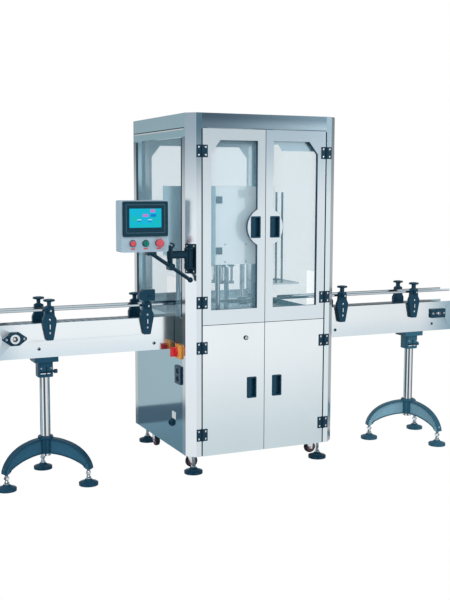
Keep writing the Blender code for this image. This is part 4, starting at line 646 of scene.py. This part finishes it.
def panel_support():
    """Sloping round bar with its ball end, the clamp with its lever, and the saddle under the box."""
    bm = bmesh.new()
    run = BAR_LOW - BAR_HIGH
    tube(bm, [BAR_HIGH + run * t for t in (0, 0.02, 0.5, 0.93, 1.0)], 0.0088, 24)
    ball = [(0.0130 * math.sin(math.pi * i / 12), -0.0130 * math.cos(math.pi * i / 12)) for i in range(13)]
    lathe(bm, ball, BAR_LOW, "Z", 28)
    z = BAR_HIGH.z + run.z * (PAN_X - BAR_HIGH.x) / run.x
    axis = (PAN_X, SWIVEL.y, 0)
    slab(bm, round_rect(PAN_X, z, 0.029, 0.031, 0.009, 6), -0.4345, -0.3925, XZ)
    lathe(bm, [(0, z), (0.0128, z), (0.0128, 1.0520), (0.0118, 1.0555), (0, 1.0555)], axis, "Z", 32)
    cap = [(0, 1.0930), (0.0058, 1.0930), (0.0058, 1.0936), (0.0118, 1.0936), (0.0125, 1.0960),
           (0.0125, 1.1060), (0.0100, 1.1120), (0.0070, 1.1180), (0, 1.1195)]
    lathe(bm, cap, axis, "Z", 32)
    lever = [(0.004, 0, 1.106), (0.013, -0.004, 1.110), (0.017, -0.008, 1.119), (0.010, -0.012, 1.1265),
             (-0.004, -0.014, 1.1285)]
    tube(bm, curve_through([Vector(axis) + Vector(p) for p in lever], 5), 0.0042)
    slab(bm, round_rect(-0.5885, 1.0833, 0.046, 0.0164, 0.0045, 4), -0.4270, -0.3910, XZ)
    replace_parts(piece("panel_support", bm, "arm", body_of("hmi_support"), 35), "hmi_support")


def screen():
    """Touch screen with plain colour fields in a bezel with a fine edge line."""
    cx, cz, y = -0.6215, 1.2465, -0.4363
    bm = bmesh.new()
    slab(bm, round_rect(cx, cz, 0.153, 0.086, 0.002), y, y + 0.0006, XZ)
    # Each field: where its middle is on the screen, its width and height, and its colour in the list below
    fields = [(0.035, 0.033, 0.022, 0.014, 2), (0.000, 0.012, 0.026, 0.012, 2),
              (0.038, 0.012, 0.026, 0.013, 1), (-0.052, -0.004, 0.030, 0.022, 3),
              (0.055, -0.018, 0.032, 0.016, 3), (-0.030, -0.014, 0.018, 0.005, 1),
              (0.020, -0.014, 0.018, 0.005, 1), (0.0, -0.034, 0.120, 0.006, 3),
              (-0.030, -0.0075, 0.020, 0.0032, 4), (0.022, -0.0075, 0.020, 0.0032, 4)]
    for dx, dz, w, h, m in fields:
        slab(bm, round_rect(cx + dx, cz + dz, w, h, 0.001, 2), y - 0.0002, y + 0.0002, XZ, m)
    piece("screen_fields", bm, ["cyan", "blue", "pink", "teal", "text"], "operator_panel")
    bm = bmesh.new()
    outer = round_rect(cx, cz - 0.003, 0.186, 0.128, 0.004)
    inner = round_rect(cx, cz - 0.003, 0.1835, 0.1255, 0.003)
    ring(bm, outer, inner, -0.4379, -0.4368)
    piece("bezel_line", bm, "line", "operator_panel")


def ring(bm, outer, inner, low_y, high_y):
    """Flat frame between two outlines of as many points."""
    lines = [(line, y) for line in (outer, inner) for y in (low_y, high_y)]
    rows = [[bm.verts.new(Vector((u, y, v)) + O) for u, v in line] for line, y in lines]
    n = len(outer)
    for a, b in ((0, 1), (1, 3), (3, 2), (2, 0)):
        for i in range(n):
            bm.faces.new((rows[a][i], rows[a][(i + 1) % n], rows[b][(i + 1) % n], rows[b][i]))


def push_button(node, x, key):
    """Flush cap with a raised rim, in its collar."""
    at = (x, BOX_FRONT, BUTTON_Z)
    bm = bmesh.new()
    cap = [(0, 0.0112), (0.0085, 0.0114), (0.0105, 0.0120), (0.0122, 0.0112), (0.0125, 0.0095),
           (0.0125, -0.0058), (0, -0.0058)]
    lathe(bm, cap, at, "-Y", 40)
    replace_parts(piece(node + "_cap", bm, key, body_of(node)), node)
    bm = bmesh.new()
    collar = [(0.0132, 0.0002), (0.0132, 0.0042), (0.0150, 0.0046), (0.0164, 0.0036), (0.0168, 0.0)]
    lathe(bm, collar, at, "-Y", 40)
    piece(node + "_collar", bm, "black", "operator_panel")


def mushroom(x):
    """Emergency stop head on its collar."""
    at = (x, BOX_FRONT, BUTTON_Z)
    bm = bmesh.new()
    head = [(0, 0.0300), (0.006, 0.0298), (0.012, 0.0288), (0.0165, 0.0268), (0.0190, 0.0238),
            (0.0199, 0.0205), (0.0192, 0.0178), (0.0160, 0.0155), (0.0120, 0.0135), (0.0090, 0.0120),
            (0.0090, -0.0039), (0, -0.0039)]
    lathe(bm, head, at, "-Y", 48)
    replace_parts(piece("emergency_stop_head", bm, "button_red", body_of("emergency_stop")), "emergency_stop")
    bm = bmesh.new()
    collar = [(0.0095, 0.0002), (0.0095, 0.0060), (0.0150, 0.0062), (0.0164, 0.0046), (0.0168, 0.0)]
    lathe(bm, collar, at, "-Y", 40)
    piece("emergency_stop_collar", bm, "black", "operator_panel")


def corner_bolts():
    """Cap screws of the plate on the bevelled corner."""
    bm = bmesh.new()
    mid = Vector((LEFT + 0.020, FRONT + 0.020, 0))
    out = Matrix.Rotation(math.radians(-45), 4, "Z") @ AXES["-Y"]
    along = Vector((math.sqrt(0.5), -math.sqrt(0.5), 0))
    screw = [(0, 0.0085), (0.0018, 0.0085), (0.0018, 0.0070), (0.0032, 0.0085), (0.0040, 0.0080),
             (0.0042, 0.0040)]
    for z in (0.992, 1.112):
        for s in (-0.018, 0.018):
            lathe(bm, screw, mid + along * s + Vector((0, 0, z)), out, 16)
    piece("corner_plate_screws", bm, "pin", "machine")


# Conveyor
def side_pick(side):
    """0 sheet, 1 black bracket, bearing or flange, 2 bright hub."""
    face = CONV_Y + side * CONV_HALF

    def pick(c, n):
        out = side * (c.y - face)
        if math.hypot(c.x - IDLER_X, c.z - SHAFT_Z) < 0.0225 and out > 0.0121:
            return 2
        return 1 if out > 0.0002 or c.z > CONV_TOP + 0.0002 else 0
    return pick


def conveyor():
    """Side plates, chain, shafts, rails and gearmotor, and the screws and knobs on them."""
    top = [((0, 0, CONV_TOP), (0, 0, 1))]
    dress("conveyor_front_side", ["conveyor", "black", "pin"], side_pick(-1), crease=SHEET, cuts=top)
    dress("conveyor_back_side", ["conveyor", "black", "pin"], side_pick(1), crease=SHEET, cuts=top)
    dress("slat_chain", "chain")
    dress("drive_shaft", "bright")
    dress("idler_shaft", "bright")
    for node in ("front_guide_rail", "back_guide_rail_left", "back_guide_rail_right"):
        dress(node, "rail", None, 0.0022, 40)
    dress("conveyor_gearmotor", "drive", None, 0.002)
    bracket_knobs()
    panel_screws()


def bracket_knobs():
    """Turned knob heads, clamp screws and slot screws of the guide brackets."""
    bm = bmesh.new()
    slots = bmesh.new()
    head = [(0, 0.0530), (0.014, 0.0525), (0.0235, 0.0508), (0.0255, 0.0475), (0.0255, 0.0440),
            (0.020, 0.0412), (0.010, 0.0392), (0.0082, 0.0200), (0, 0.0200)]
    boss = [(0.0052, 0.0110), (0.0105, 0.0108), (0.0125, 0.0095), (0.0130, 0.0020), (0.0185, 0.0016),
            (0.0205, 0.0)]
    screw = [(0, 0.0026), (0.0032, 0.0024), (0.0048, 0.0014), (0.0052, 0.0)]
    for side, spots in BRACKET_X.items():
        y = CONV_Y + side * (CONV_HALF + 0.010)
        face = CONV_Y + side * (CONV_HALF + 0.0201)
        out = "-Y" if side < 0 else "Y"
        for x in spots:
            lathe(bm, head, (x, y, KNOB_Z), "Z", 32)
            lathe(bm, boss, (x, face, KNOB_Z), out, 32)
            for z in (0.778, 0.716):
                lathe(slots, screw, (x, face, z), out, 16)
            low, high = sorted((face, face + side * 0.0016))
            slab(bm, round_rect(x, 0.748, 0.0120, 0.036, 0.0055, 5), low, high, XZ)
            low, high = sorted((face, face + side * 0.0022))
            slab(slots, round_rect(x + 0.001, 0.746, 0.0042, 0.022, 0.0020, 4), low, high, XZ)
    piece("bracket_knobs", bm, "black", "machine")
    piece("bracket_screws", slots, "pin", "machine")


def panel_screws():
    """Button head screws of the side plates and bearings, dark with one bright ring, and bolts; their sockets
    are painted dark as shade.
    """
    bm = bmesh.new()
    button = [(0, 0.0022), (0.0026, 0.0022), (0.0030, 0.0042), (0.0062, 0.0036), (0.0082, 0.0018),
              (0.0086, 0.0)]
    for x, z in ((-1.068, 0.643), (-0.505, 0.635), (0.507, 0.640), (1.120, 0.640)):
        lathe(bm, button, (x, CONV_FRONT, z), "-Y", 20, [1, 1, 1, 0, 1])
    bolt = [(0, 0.0030), (0.0024, 0.0030), (0.0026, 0.0060), (0.0050, 0.0056), (0.0060, 0.0040),
            (0.0062, 0.0)]
    for dx in (-0.040, 0.040):
        for axis_x, reach in ((IDLER_X, 1.0), (DRIVE_X, 0.9)):
            at = (axis_x + dx * reach, CONV_FRONT - 0.012, SHAFT_Z)
            lathe(bm, bolt, at, "-Y", 20, [1, 1, 0, 0, 0])
    piece("conveyor_screws", bm, ["pin", "black"], "machine")


# Stands. An arm's upper and lower line, as distance from the tube's axis and height.
ARM_TOP = [(0.026, 0.2135), (0.080, 0.207), (0.140, 0.189), (0.187, 0.160), (0.217, 0.126), (0.2315, 0.096),
           (0.2345, 0.0785)]
ARM_UNDER = [(0.026, 0.137), (0.080, 0.132), (0.140, 0.117), (0.190, 0.094), (0.203, 0.0785)]


def curve_through(points, per=6):
    """Smooth line through the points, in so many steps between each two."""
    pts = [Vector(p) for p in points]
    pts = [pts[0] * 2 - pts[1]] + pts + [pts[-1] * 2 - pts[-2]]
    out = []
    for a, b, c, d in zip(pts, pts[1:], pts[2:], pts[3:]):
        for i in range(per):
            t = i / per
            square, cube = 2 * a - 5 * b + 4 * c - d, 3 * b - a - 3 * c + d
            out.append(0.5 * (2 * b + (c - a) * t + square * t * t + cube * t ** 3))
    return out + [pts[-2]]


def stand(word, x, turn):
    """Tripod casting of three arched arms, each a strap over a web, with its tube, clamp and feet."""
    # Straps and webs take this stand's painted light and shade copies of one nylon.
    flange, web_mat = word + "_flange", word + "_web"
    dress("%s_stand_clamp" % word, flange, None, 0.002)
    stand_tube(word, x)
    clamp_front(word, x)
    bm = bmesh.new()
    hub = [(0.0252, 0.216), (0.0262, 0.2205), (0.0340, 0.2210), (0.0362, 0.2185), (0.0362, 0.2110),
           (0.0335, 0.2080), (0.0292, 0.2040), (0.0282, 0.1400), (0.0262, 0.1370), (0.0, 0.1370)]
    lathe(bm, hub, (x, CONV_Y, 0), "Z", 48)
    top = curve_through(ARM_TOP, 5)
    under = curve_through(ARM_UNDER, 5)
    for k in range(3):
        a = math.radians(turn + 120 * k)
        d, s = Vector((math.cos(a), math.sin(a), 0)), Vector((-math.sin(a), math.cos(a), 0))
        at = lambda r, z, w: (Vector((x, CONV_Y, z)) + d * r + s * w)
        flange_ring(bm, top, at)
        flange_ring(bm, [p + Vector((0, 0.005)) for p in under], at, 0.0085, 0.006)
        web = [(p.x - 0.003 * (p.x > 0.2), p.y - 0.004) for p in top[:-1]] + [(0.2315, 0.079)]
        web += [(p.x, p.y) for p in reversed(under)]
        slab(bm, web, -0.0058, 0.0058, lambda u, v, h, at=at: at(u, v, h), 1)
        foot = Vector((x, CONV_Y, 0)) + d * 0.2163
        boss = [(0, 0.1050), (0.0120, 0.1050), (0.0145, 0.1020), (0.0155, 0.0960), (0.0155, 0.0780),
                (0, 0.0775)]
        lathe(bm, boss, foot, "Z", 32, 1)
        levelling_foot("%s_stand_foot_%d" % (word, k + 1), (foot.x, foot.y), 0.078, 0.012,
                       (0.0525, 0.0625), flange)
    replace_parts(piece("%s_tripod_casting" % word, bm, [flange, web_mat], "machine", 40), "%s_tripod" % word)


def stand_tube(word, x):
    """Polished tube with eased ends."""
    low, high, r = 0.1262, 0.5743, 0.02415
    bm = bmesh.new()
    lathe(bm, [(0, low), (r - 0.001, low), (r, low + 0.001), (r, high - 0.001), (r - 0.001, high), (0, high)],
          (x, CONV_Y, 0), "Z", 64)
    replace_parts(piece("%s_polished_tube" % word, bm, "bright", "machine"), "%s_stand_tube" % word)


def clamp_front(word, x):
    """Clamp split across the block's front with its key, drawn as dark strips that are partly the real split
    and partly painted shade in it, a bright strip that is a painted glint, and two cap screws with sockets
    painted dark as shade.
    """
    face = CONV_Y - CLAMP_HALF
    bm = bmesh.new()
    screw = [(0, 0.0015), (0.0018, 0.0015), (0.0020, 0.0030), (0.0036, 0.0028), (0.0040, 0.0020),
             (0.0040, 0.0)]
    # Cap screws, their sockets painted dark as shade.
    for dx in (-0.0235, 0.0235):
        lathe(bm, screw, (x + dx, face, 0.5480), "-Y", 18, [1, 1, 0, 0, 0])
    # Dark strips on the split and the key: partly the real split, partly painted shade in it.
    slab(bm, round_rect(x, 0.5300, 0.0600, 0.0062, 0.0010, 2), face - 0.0008, face - 0.0001, XZ, 1)
    slab(bm, round_rect(x + 0.002, 0.5340, 0.0060, 0.0400, 0.0010, 2), face - 0.0012, face - 0.0001, XZ, 1)
    # Bright strip: a painted glint.
    slab(bm, round_rect(x - 0.004, 0.5225, 0.0460, 0.0040, 0.0010, 2), face - 0.0008, face - 0.0001, XZ, 0)
    piece("%s_clamp_front" % word, bm, ["pin", "gasket"], "machine")


def flange_ring(bm, line, at, half=0.017, deep=0.008):
    """Arched strap with rounded edges along a line of an arm."""
    rows = []
    inner = half - 0.0015
    section = [(-half, -0.0015), (-inner, 0), (inner, 0), (half, -0.0015), (half, 0.0018 - deep),
               (inner, -deep), (-inner, -deep), (-half, 0.0018 - deep)]
    for i, p in enumerate(line):
        q0, q1 = line[max(i - 1, 0)], line[min(i + 1, len(line) - 1)]
        t = (q1 - q0).normalized()
        n = Vector((-t.y, t.x))
        rows.append([bm.verts.new(at(p.x + n.x * h, p.y + n.y * h, w) + O) for w, h in section])
    for a, b in zip(rows, rows[1:]):
        for i in range(len(section)):
            j = (i + 1) % len(section)
            bm.faces.new((a[i], a[j], b[j], b[i]))
    bm.faces.new(rows[0])
    bm.faces.new(rows[-1])


# Casters
def casters():
    """Wheels with a moulded tyre round a hub, in bright pressed forks."""
    half = 0.011
    profile = [(0.0052, -half), (0.0085, -half), (0.0090, -half + 0.003), (0.0150, -half + 0.0035),
               (0.0160, -half + 0.001), (0.0220, -half + 0.001), (0.0225, -half), (0.0285, -half + 0.0003),
               (0.0305, -0.006), (0.0310, 0)]
    profile += [(r, -h) for r, h in reversed(profile[:-1])] + [profile[0]]
    mats = [1] * 6 + [0] * 6 + [1] * 7
    for fy in ("front", "back"):
        for fx in ("left", "right"):
            word = "%s_%s" % (fy, fx)
            dress(word + "_caster_fork", "pin", None, 0.0006)
            low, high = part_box(word + "_caster_wheel")
            axle = "X" if high.x - low.x < high.y - low.y else "Y"
            bm = bmesh.new()
            lathe(bm, profile, (low + high) / 2 - O, axle, 40, mats)
            tyre = piece(word + "_caster_tyre", bm, ["rubber", "hub"], body_of(word + "_caster_wheel"))
            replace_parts(tyre, word + "_caster_wheel")


# Seaming head
def cover_pick(c, n):
    """0 sheet, 1 hinge leaf."""
    return 1 if c.y < COVER_Y - 0.0002 and c.x < -0.15 else 0


def housing_pick(c, n):
    """0 casing, 1 dark columns and rods, 2 bright chuck."""
    if c.z < CHUCK_TOP and math.hypot(c.x - CHUCK_X, c.y - CHUCK_Y) < 0.05:
        return 2
    return 1 if c.x > 0.1 or c.z < CHUCK_TOP else 0


def seaming_head():
    """Casing, cover, turret, star wheel, lifter and drive, and what is on the cover."""
    dress("seaming_housing", ["inner", "rail", "bright"], housing_pick, crease=SHEET * 2)
    dress("housing_cover", ["cover", "leaf"], cover_pick, crease=SHEET)
    dress("seaming_turret", "bright")
    dress("star_wheel", "bright")
    dress("lift_pedestal", "bright")
    dress("main_drive", "drive", None, 0.0015)
    bm = bmesh.new()
    screw = [(0, 0.0030), (0.0030, 0.0028), (0.0042, 0.0012), (0.0045, 0.0)]
    for x in (-0.1805, -0.0695):
        for z in (1.111, 1.028):
            # Screw heads with a dark centre: painted shade in the socket.
            lathe(bm, screw, (x, COVER_Y, z), "-Y", 16, [1, 0, 0])
    piece("cover_screws", bm, ["pin", "leaf"], "head_cover")
    bm = bmesh.new()
    slab(bm, round_rect(-0.086, 1.3555, 0.050, 0.040, 0.002), COVER_Y - 0.0007, COVER_Y - 0.0001, XZ)
    piece("cover_tag", bm, "pale", "head_cover")


# Studio
def bands(tree, value, stops, low, high, tint):
    """Tones along a value that goes from 0 to 1 as the stops go from low to high."""
    node = tree.nodes.new("ShaderNodeValToRGB")
    elements = node.color_ramp.elements
    while len(elements) < len(stops):
        elements.new(0.5)
    for el, (stop, tone) in zip(elements, stops):
        el.position = (stop - low) / (high - low)
        el.color = (*(tone * c for c in tint), 1)
    link(tree, value, node.inputs["Fac"])
    return node.outputs["Color"]


def math_node(tree, operation, a, b):
    """Adds a maths node. a and b are numbers or sockets."""
    node = tree.nodes.new("ShaderNodeMath")
    node.operation = operation
    for socket, value in zip(node.inputs, (a, b)):
        if isinstance(value, (int, float)):
            socket.default_value = value
        else:
            link(tree, value, socket)
    return node.outputs[0]


# What the steel mirrors: degrees round from the machine's front towards its right side, and up from the floor
AROUND = [(-180, 0.50), (-165, 0.60), (-155, 0.80), (-136, 0.60), (-118, 0.30), (-108, 0.16), (-84, 0.16),
          (-75, 0.95), (-66, 1.0), (-46, 1.0), (-38, 0.13), (-4, 0.11), (4, 0.90), (10, 1.0), (28, 1.0),
          (34, 0.88), (44, 0.75), (58, 0.50), (70, 0.22), (106, 0.18), (120, 0.50), (150, 0.60), (166, 0.85),
          (180, 0.50)]
UPWARD = [(-90, 0.80), (-30, 0.80), (-18, 0.90), (-8, 1.0), (-1, 1.0), (5, 0.86), (14, 0.62), (30, 0.42),
          (55, 0.60), (90, 1.0)]


def studio():
    """White to the camera, plain for soft light, and with dark cards at some sides for what shines."""
    world = bpy.data.worlds.new("studio")
    bpy.context.scene.world = world
    world.use_nodes = True
    tree = world.node_tree
    tree.nodes.clear()
    coord = tree.nodes.new("ShaderNodeTexCoord")
    split = tree.nodes.new("ShaderNodeSeparateXYZ")
    link(tree, coord.outputs["Generated"], split.inputs["Vector"])
    back = math_node(tree, "MULTIPLY", split.outputs["Y"], -1.0)
    angle = math_node(tree, "ARCTAN2", split.outputs["X"], back)
    around = math_node(tree, "MULTIPLY_ADD", angle, 0.5 / math.pi)
    around.node.inputs[2].default_value = 0.5
    rise = math_node(tree, "MULTIPLY_ADD", math_node(tree, "ARCSINE", split.outputs["Z"], 0.0), 1 / math.pi)
    rise.node.inputs[2].default_value = 0.5
    tone = multiply(tree, bands(tree, around, AROUND, -180, 180, (0.96, 0.985, 1.0)),
                    bands(tree, rise, UPWARD, -90, 90, (1, 1, 1)))
    shine = tree.nodes.new("ShaderNodeBackground")
    link(tree, tone, shine.inputs["Color"])
    plain = tree.nodes.new("ShaderNodeBackground")
    plain.inputs["Color"].default_value = (0.82, 0.88, 0.92, 1)
    white = tree.nodes.new("ShaderNodeBackground")
    white.inputs["Color"].default_value = (1, 1, 1, 1)
    path = tree.nodes.new("ShaderNodeLightPath")
    out = tree.nodes.new("ShaderNodeOutputWorld")
    seen = math_node(tree, "MAXIMUM", path.outputs["Is Camera Ray"], path.outputs["Is Transmission Ray"])
    inner = mixed(tree, path.outputs["Is Glossy Ray"], plain.outputs[0], shine.outputs[0])
    link(tree, mixed(tree, seen, inner, white.outputs[0]), out.inputs["Surface"])
    floor()
    side_card()
    soft_light("key", (-2.6, -3.2, 3.4), (0, 0, 0.9), 2.4, 60)
    soft_light("fill", (3.0, -2.6, 2.6), (0, 0, 0.8), 2.0, 30)


def mixed(tree, factor, a, b):
    """Mixes two shaders."""
    mix = tree.nodes.new("ShaderNodeMixShader")
    link(tree, factor, mix.inputs["Fac"])
    link(tree, a, mix.inputs[1])
    link(tree, b, mix.inputs[2])
    return mix.outputs["Shader"]


def stage_sheet(name, outline, z, mat):
    """A flat sheet of the stage."""
    bm = bmesh.new()
    for x, y in outline:
        bm.verts.new(Vector((x, y, z)) + O)
    bm.faces.new(bm.verts)
    mesh = bpy.data.meshes.new(name)
    bm.to_mesh(mesh)
    bm.free()
    mesh.materials.append(mat)
    ob = bpy.data.objects.new(name, mesh)
    bpy.context.scene.collection.objects.link(ob)
    return ob


def floor():
    """Pale floor: white to the camera and through glass. Steel mirrors the world instead of it."""
    mat = bpy.data.materials.new("pale_floor")
    mat.use_nodes = True
    tree = mat.node_tree
    tree.nodes.clear()
    soft = tree.nodes.new("ShaderNodeBsdfDiffuse")
    soft.inputs["Color"].default_value = (0.80, 0.84, 0.87, 1)
    glow = tree.nodes.new("ShaderNodeEmission")
    path = tree.nodes.new("ShaderNodeLightPath")
    out = tree.nodes.new("ShaderNodeOutputMaterial")
    seen = math_node(tree, "MAXIMUM", path.outputs["Is Camera Ray"], path.outputs["Is Transmission Ray"])
    link(tree, mixed(tree, seen, soft.outputs[0], glow.outputs[0]), out.inputs["Surface"])
    sheet = stage_sheet("floor", strip(-9, 9, -9, 9), -0.0005, mat)
    sheet.visible_glossy = False


def side_card():
    """Card on the floor beside the machine, dark at its back, seen only in the left side."""
    mat, tree, bsdf = shader("dark_card")
    spot = tree.nodes.new("ShaderNodeTexCoord")
    split = tree.nodes.new("ShaderNodeSeparateXYZ")
    link(tree, spot.outputs["Object"], split.inputs["Vector"])
    tone = ramp(tree, split.outputs["Y"], (0.34, 0.44, 0.50), (0.13, 0.18, 0.23), 0.72, 0.76)
    link(tree, tone, bsdf.inputs["Base Color"])
    bsdf.inputs["Roughness"].default_value = 0.9
    card = stage_sheet("side_card", strip(-3.2, -0.45, -0.2, 1.15), 0.0, mat)
    card.visible_camera = False
    card.visible_diffuse = False
    card.visible_shadow = False
    card.visible_transmission = False


def soft_light(name, at, to, size, power):
    """A square area light that looks at a point."""
    data = bpy.data.lights.new(name, "AREA")
    data.size = size
    data.energy = power
    ob = bpy.data.objects.new(name, data)
    ob.location = Vector(at) + O
    ob.rotation_mode = "QUATERNION"
    ob.rotation_quaternion = (Vector(to) + O - ob.location).to_track_quat("-Z", "Y")
    bpy.context.scene.collection.objects.link(ob)


def camera():
    """The photograph's camera, as fitted to it: angles in radians, focal length in pixels of its height."""
    yaw, pitch, roll = 0.4234, 0.1167, 0.0026
    focal, tall, sensor = 987.09, 600.0, 36.0
    spot = Vector((-2.1327, -4.6667, 1.3995))
    h = Vector((math.sin(yaw), math.cos(yaw), 0))
    right = Vector((math.cos(yaw), -math.sin(yaw), 0))
    up = Vector((0, 0, 1))
    ahead = h * math.cos(pitch) - up * math.sin(pitch)
    top = h * math.sin(pitch) + up * math.cos(pitch)
    r = right * math.cos(roll) + top * math.sin(roll)
    u = -right * math.sin(roll) + top * math.cos(roll)
    data = bpy.data.cameras.new("camera")
    data.sensor_width = sensor
    data.lens = focal * sensor / tall
    ob = bpy.data.objects.new("camera", data)
    turn = Matrix((r, u, -ahead)).transposed()
    ob.matrix_world = Matrix.Translation(spot + O) @ turn.to_4x4()
    bpy.context.scene.collection.objects.link(ob)
    bpy.context.scene.camera = ob


bpy.context.scene.view_settings.view_transform = "Standard"
camera()
studio()
cabinet()
left_side()
operator_panel()
conveyor()
for word, x, turn in STANDS:
    stand(word, x, turn)
casters()
seaming_head()
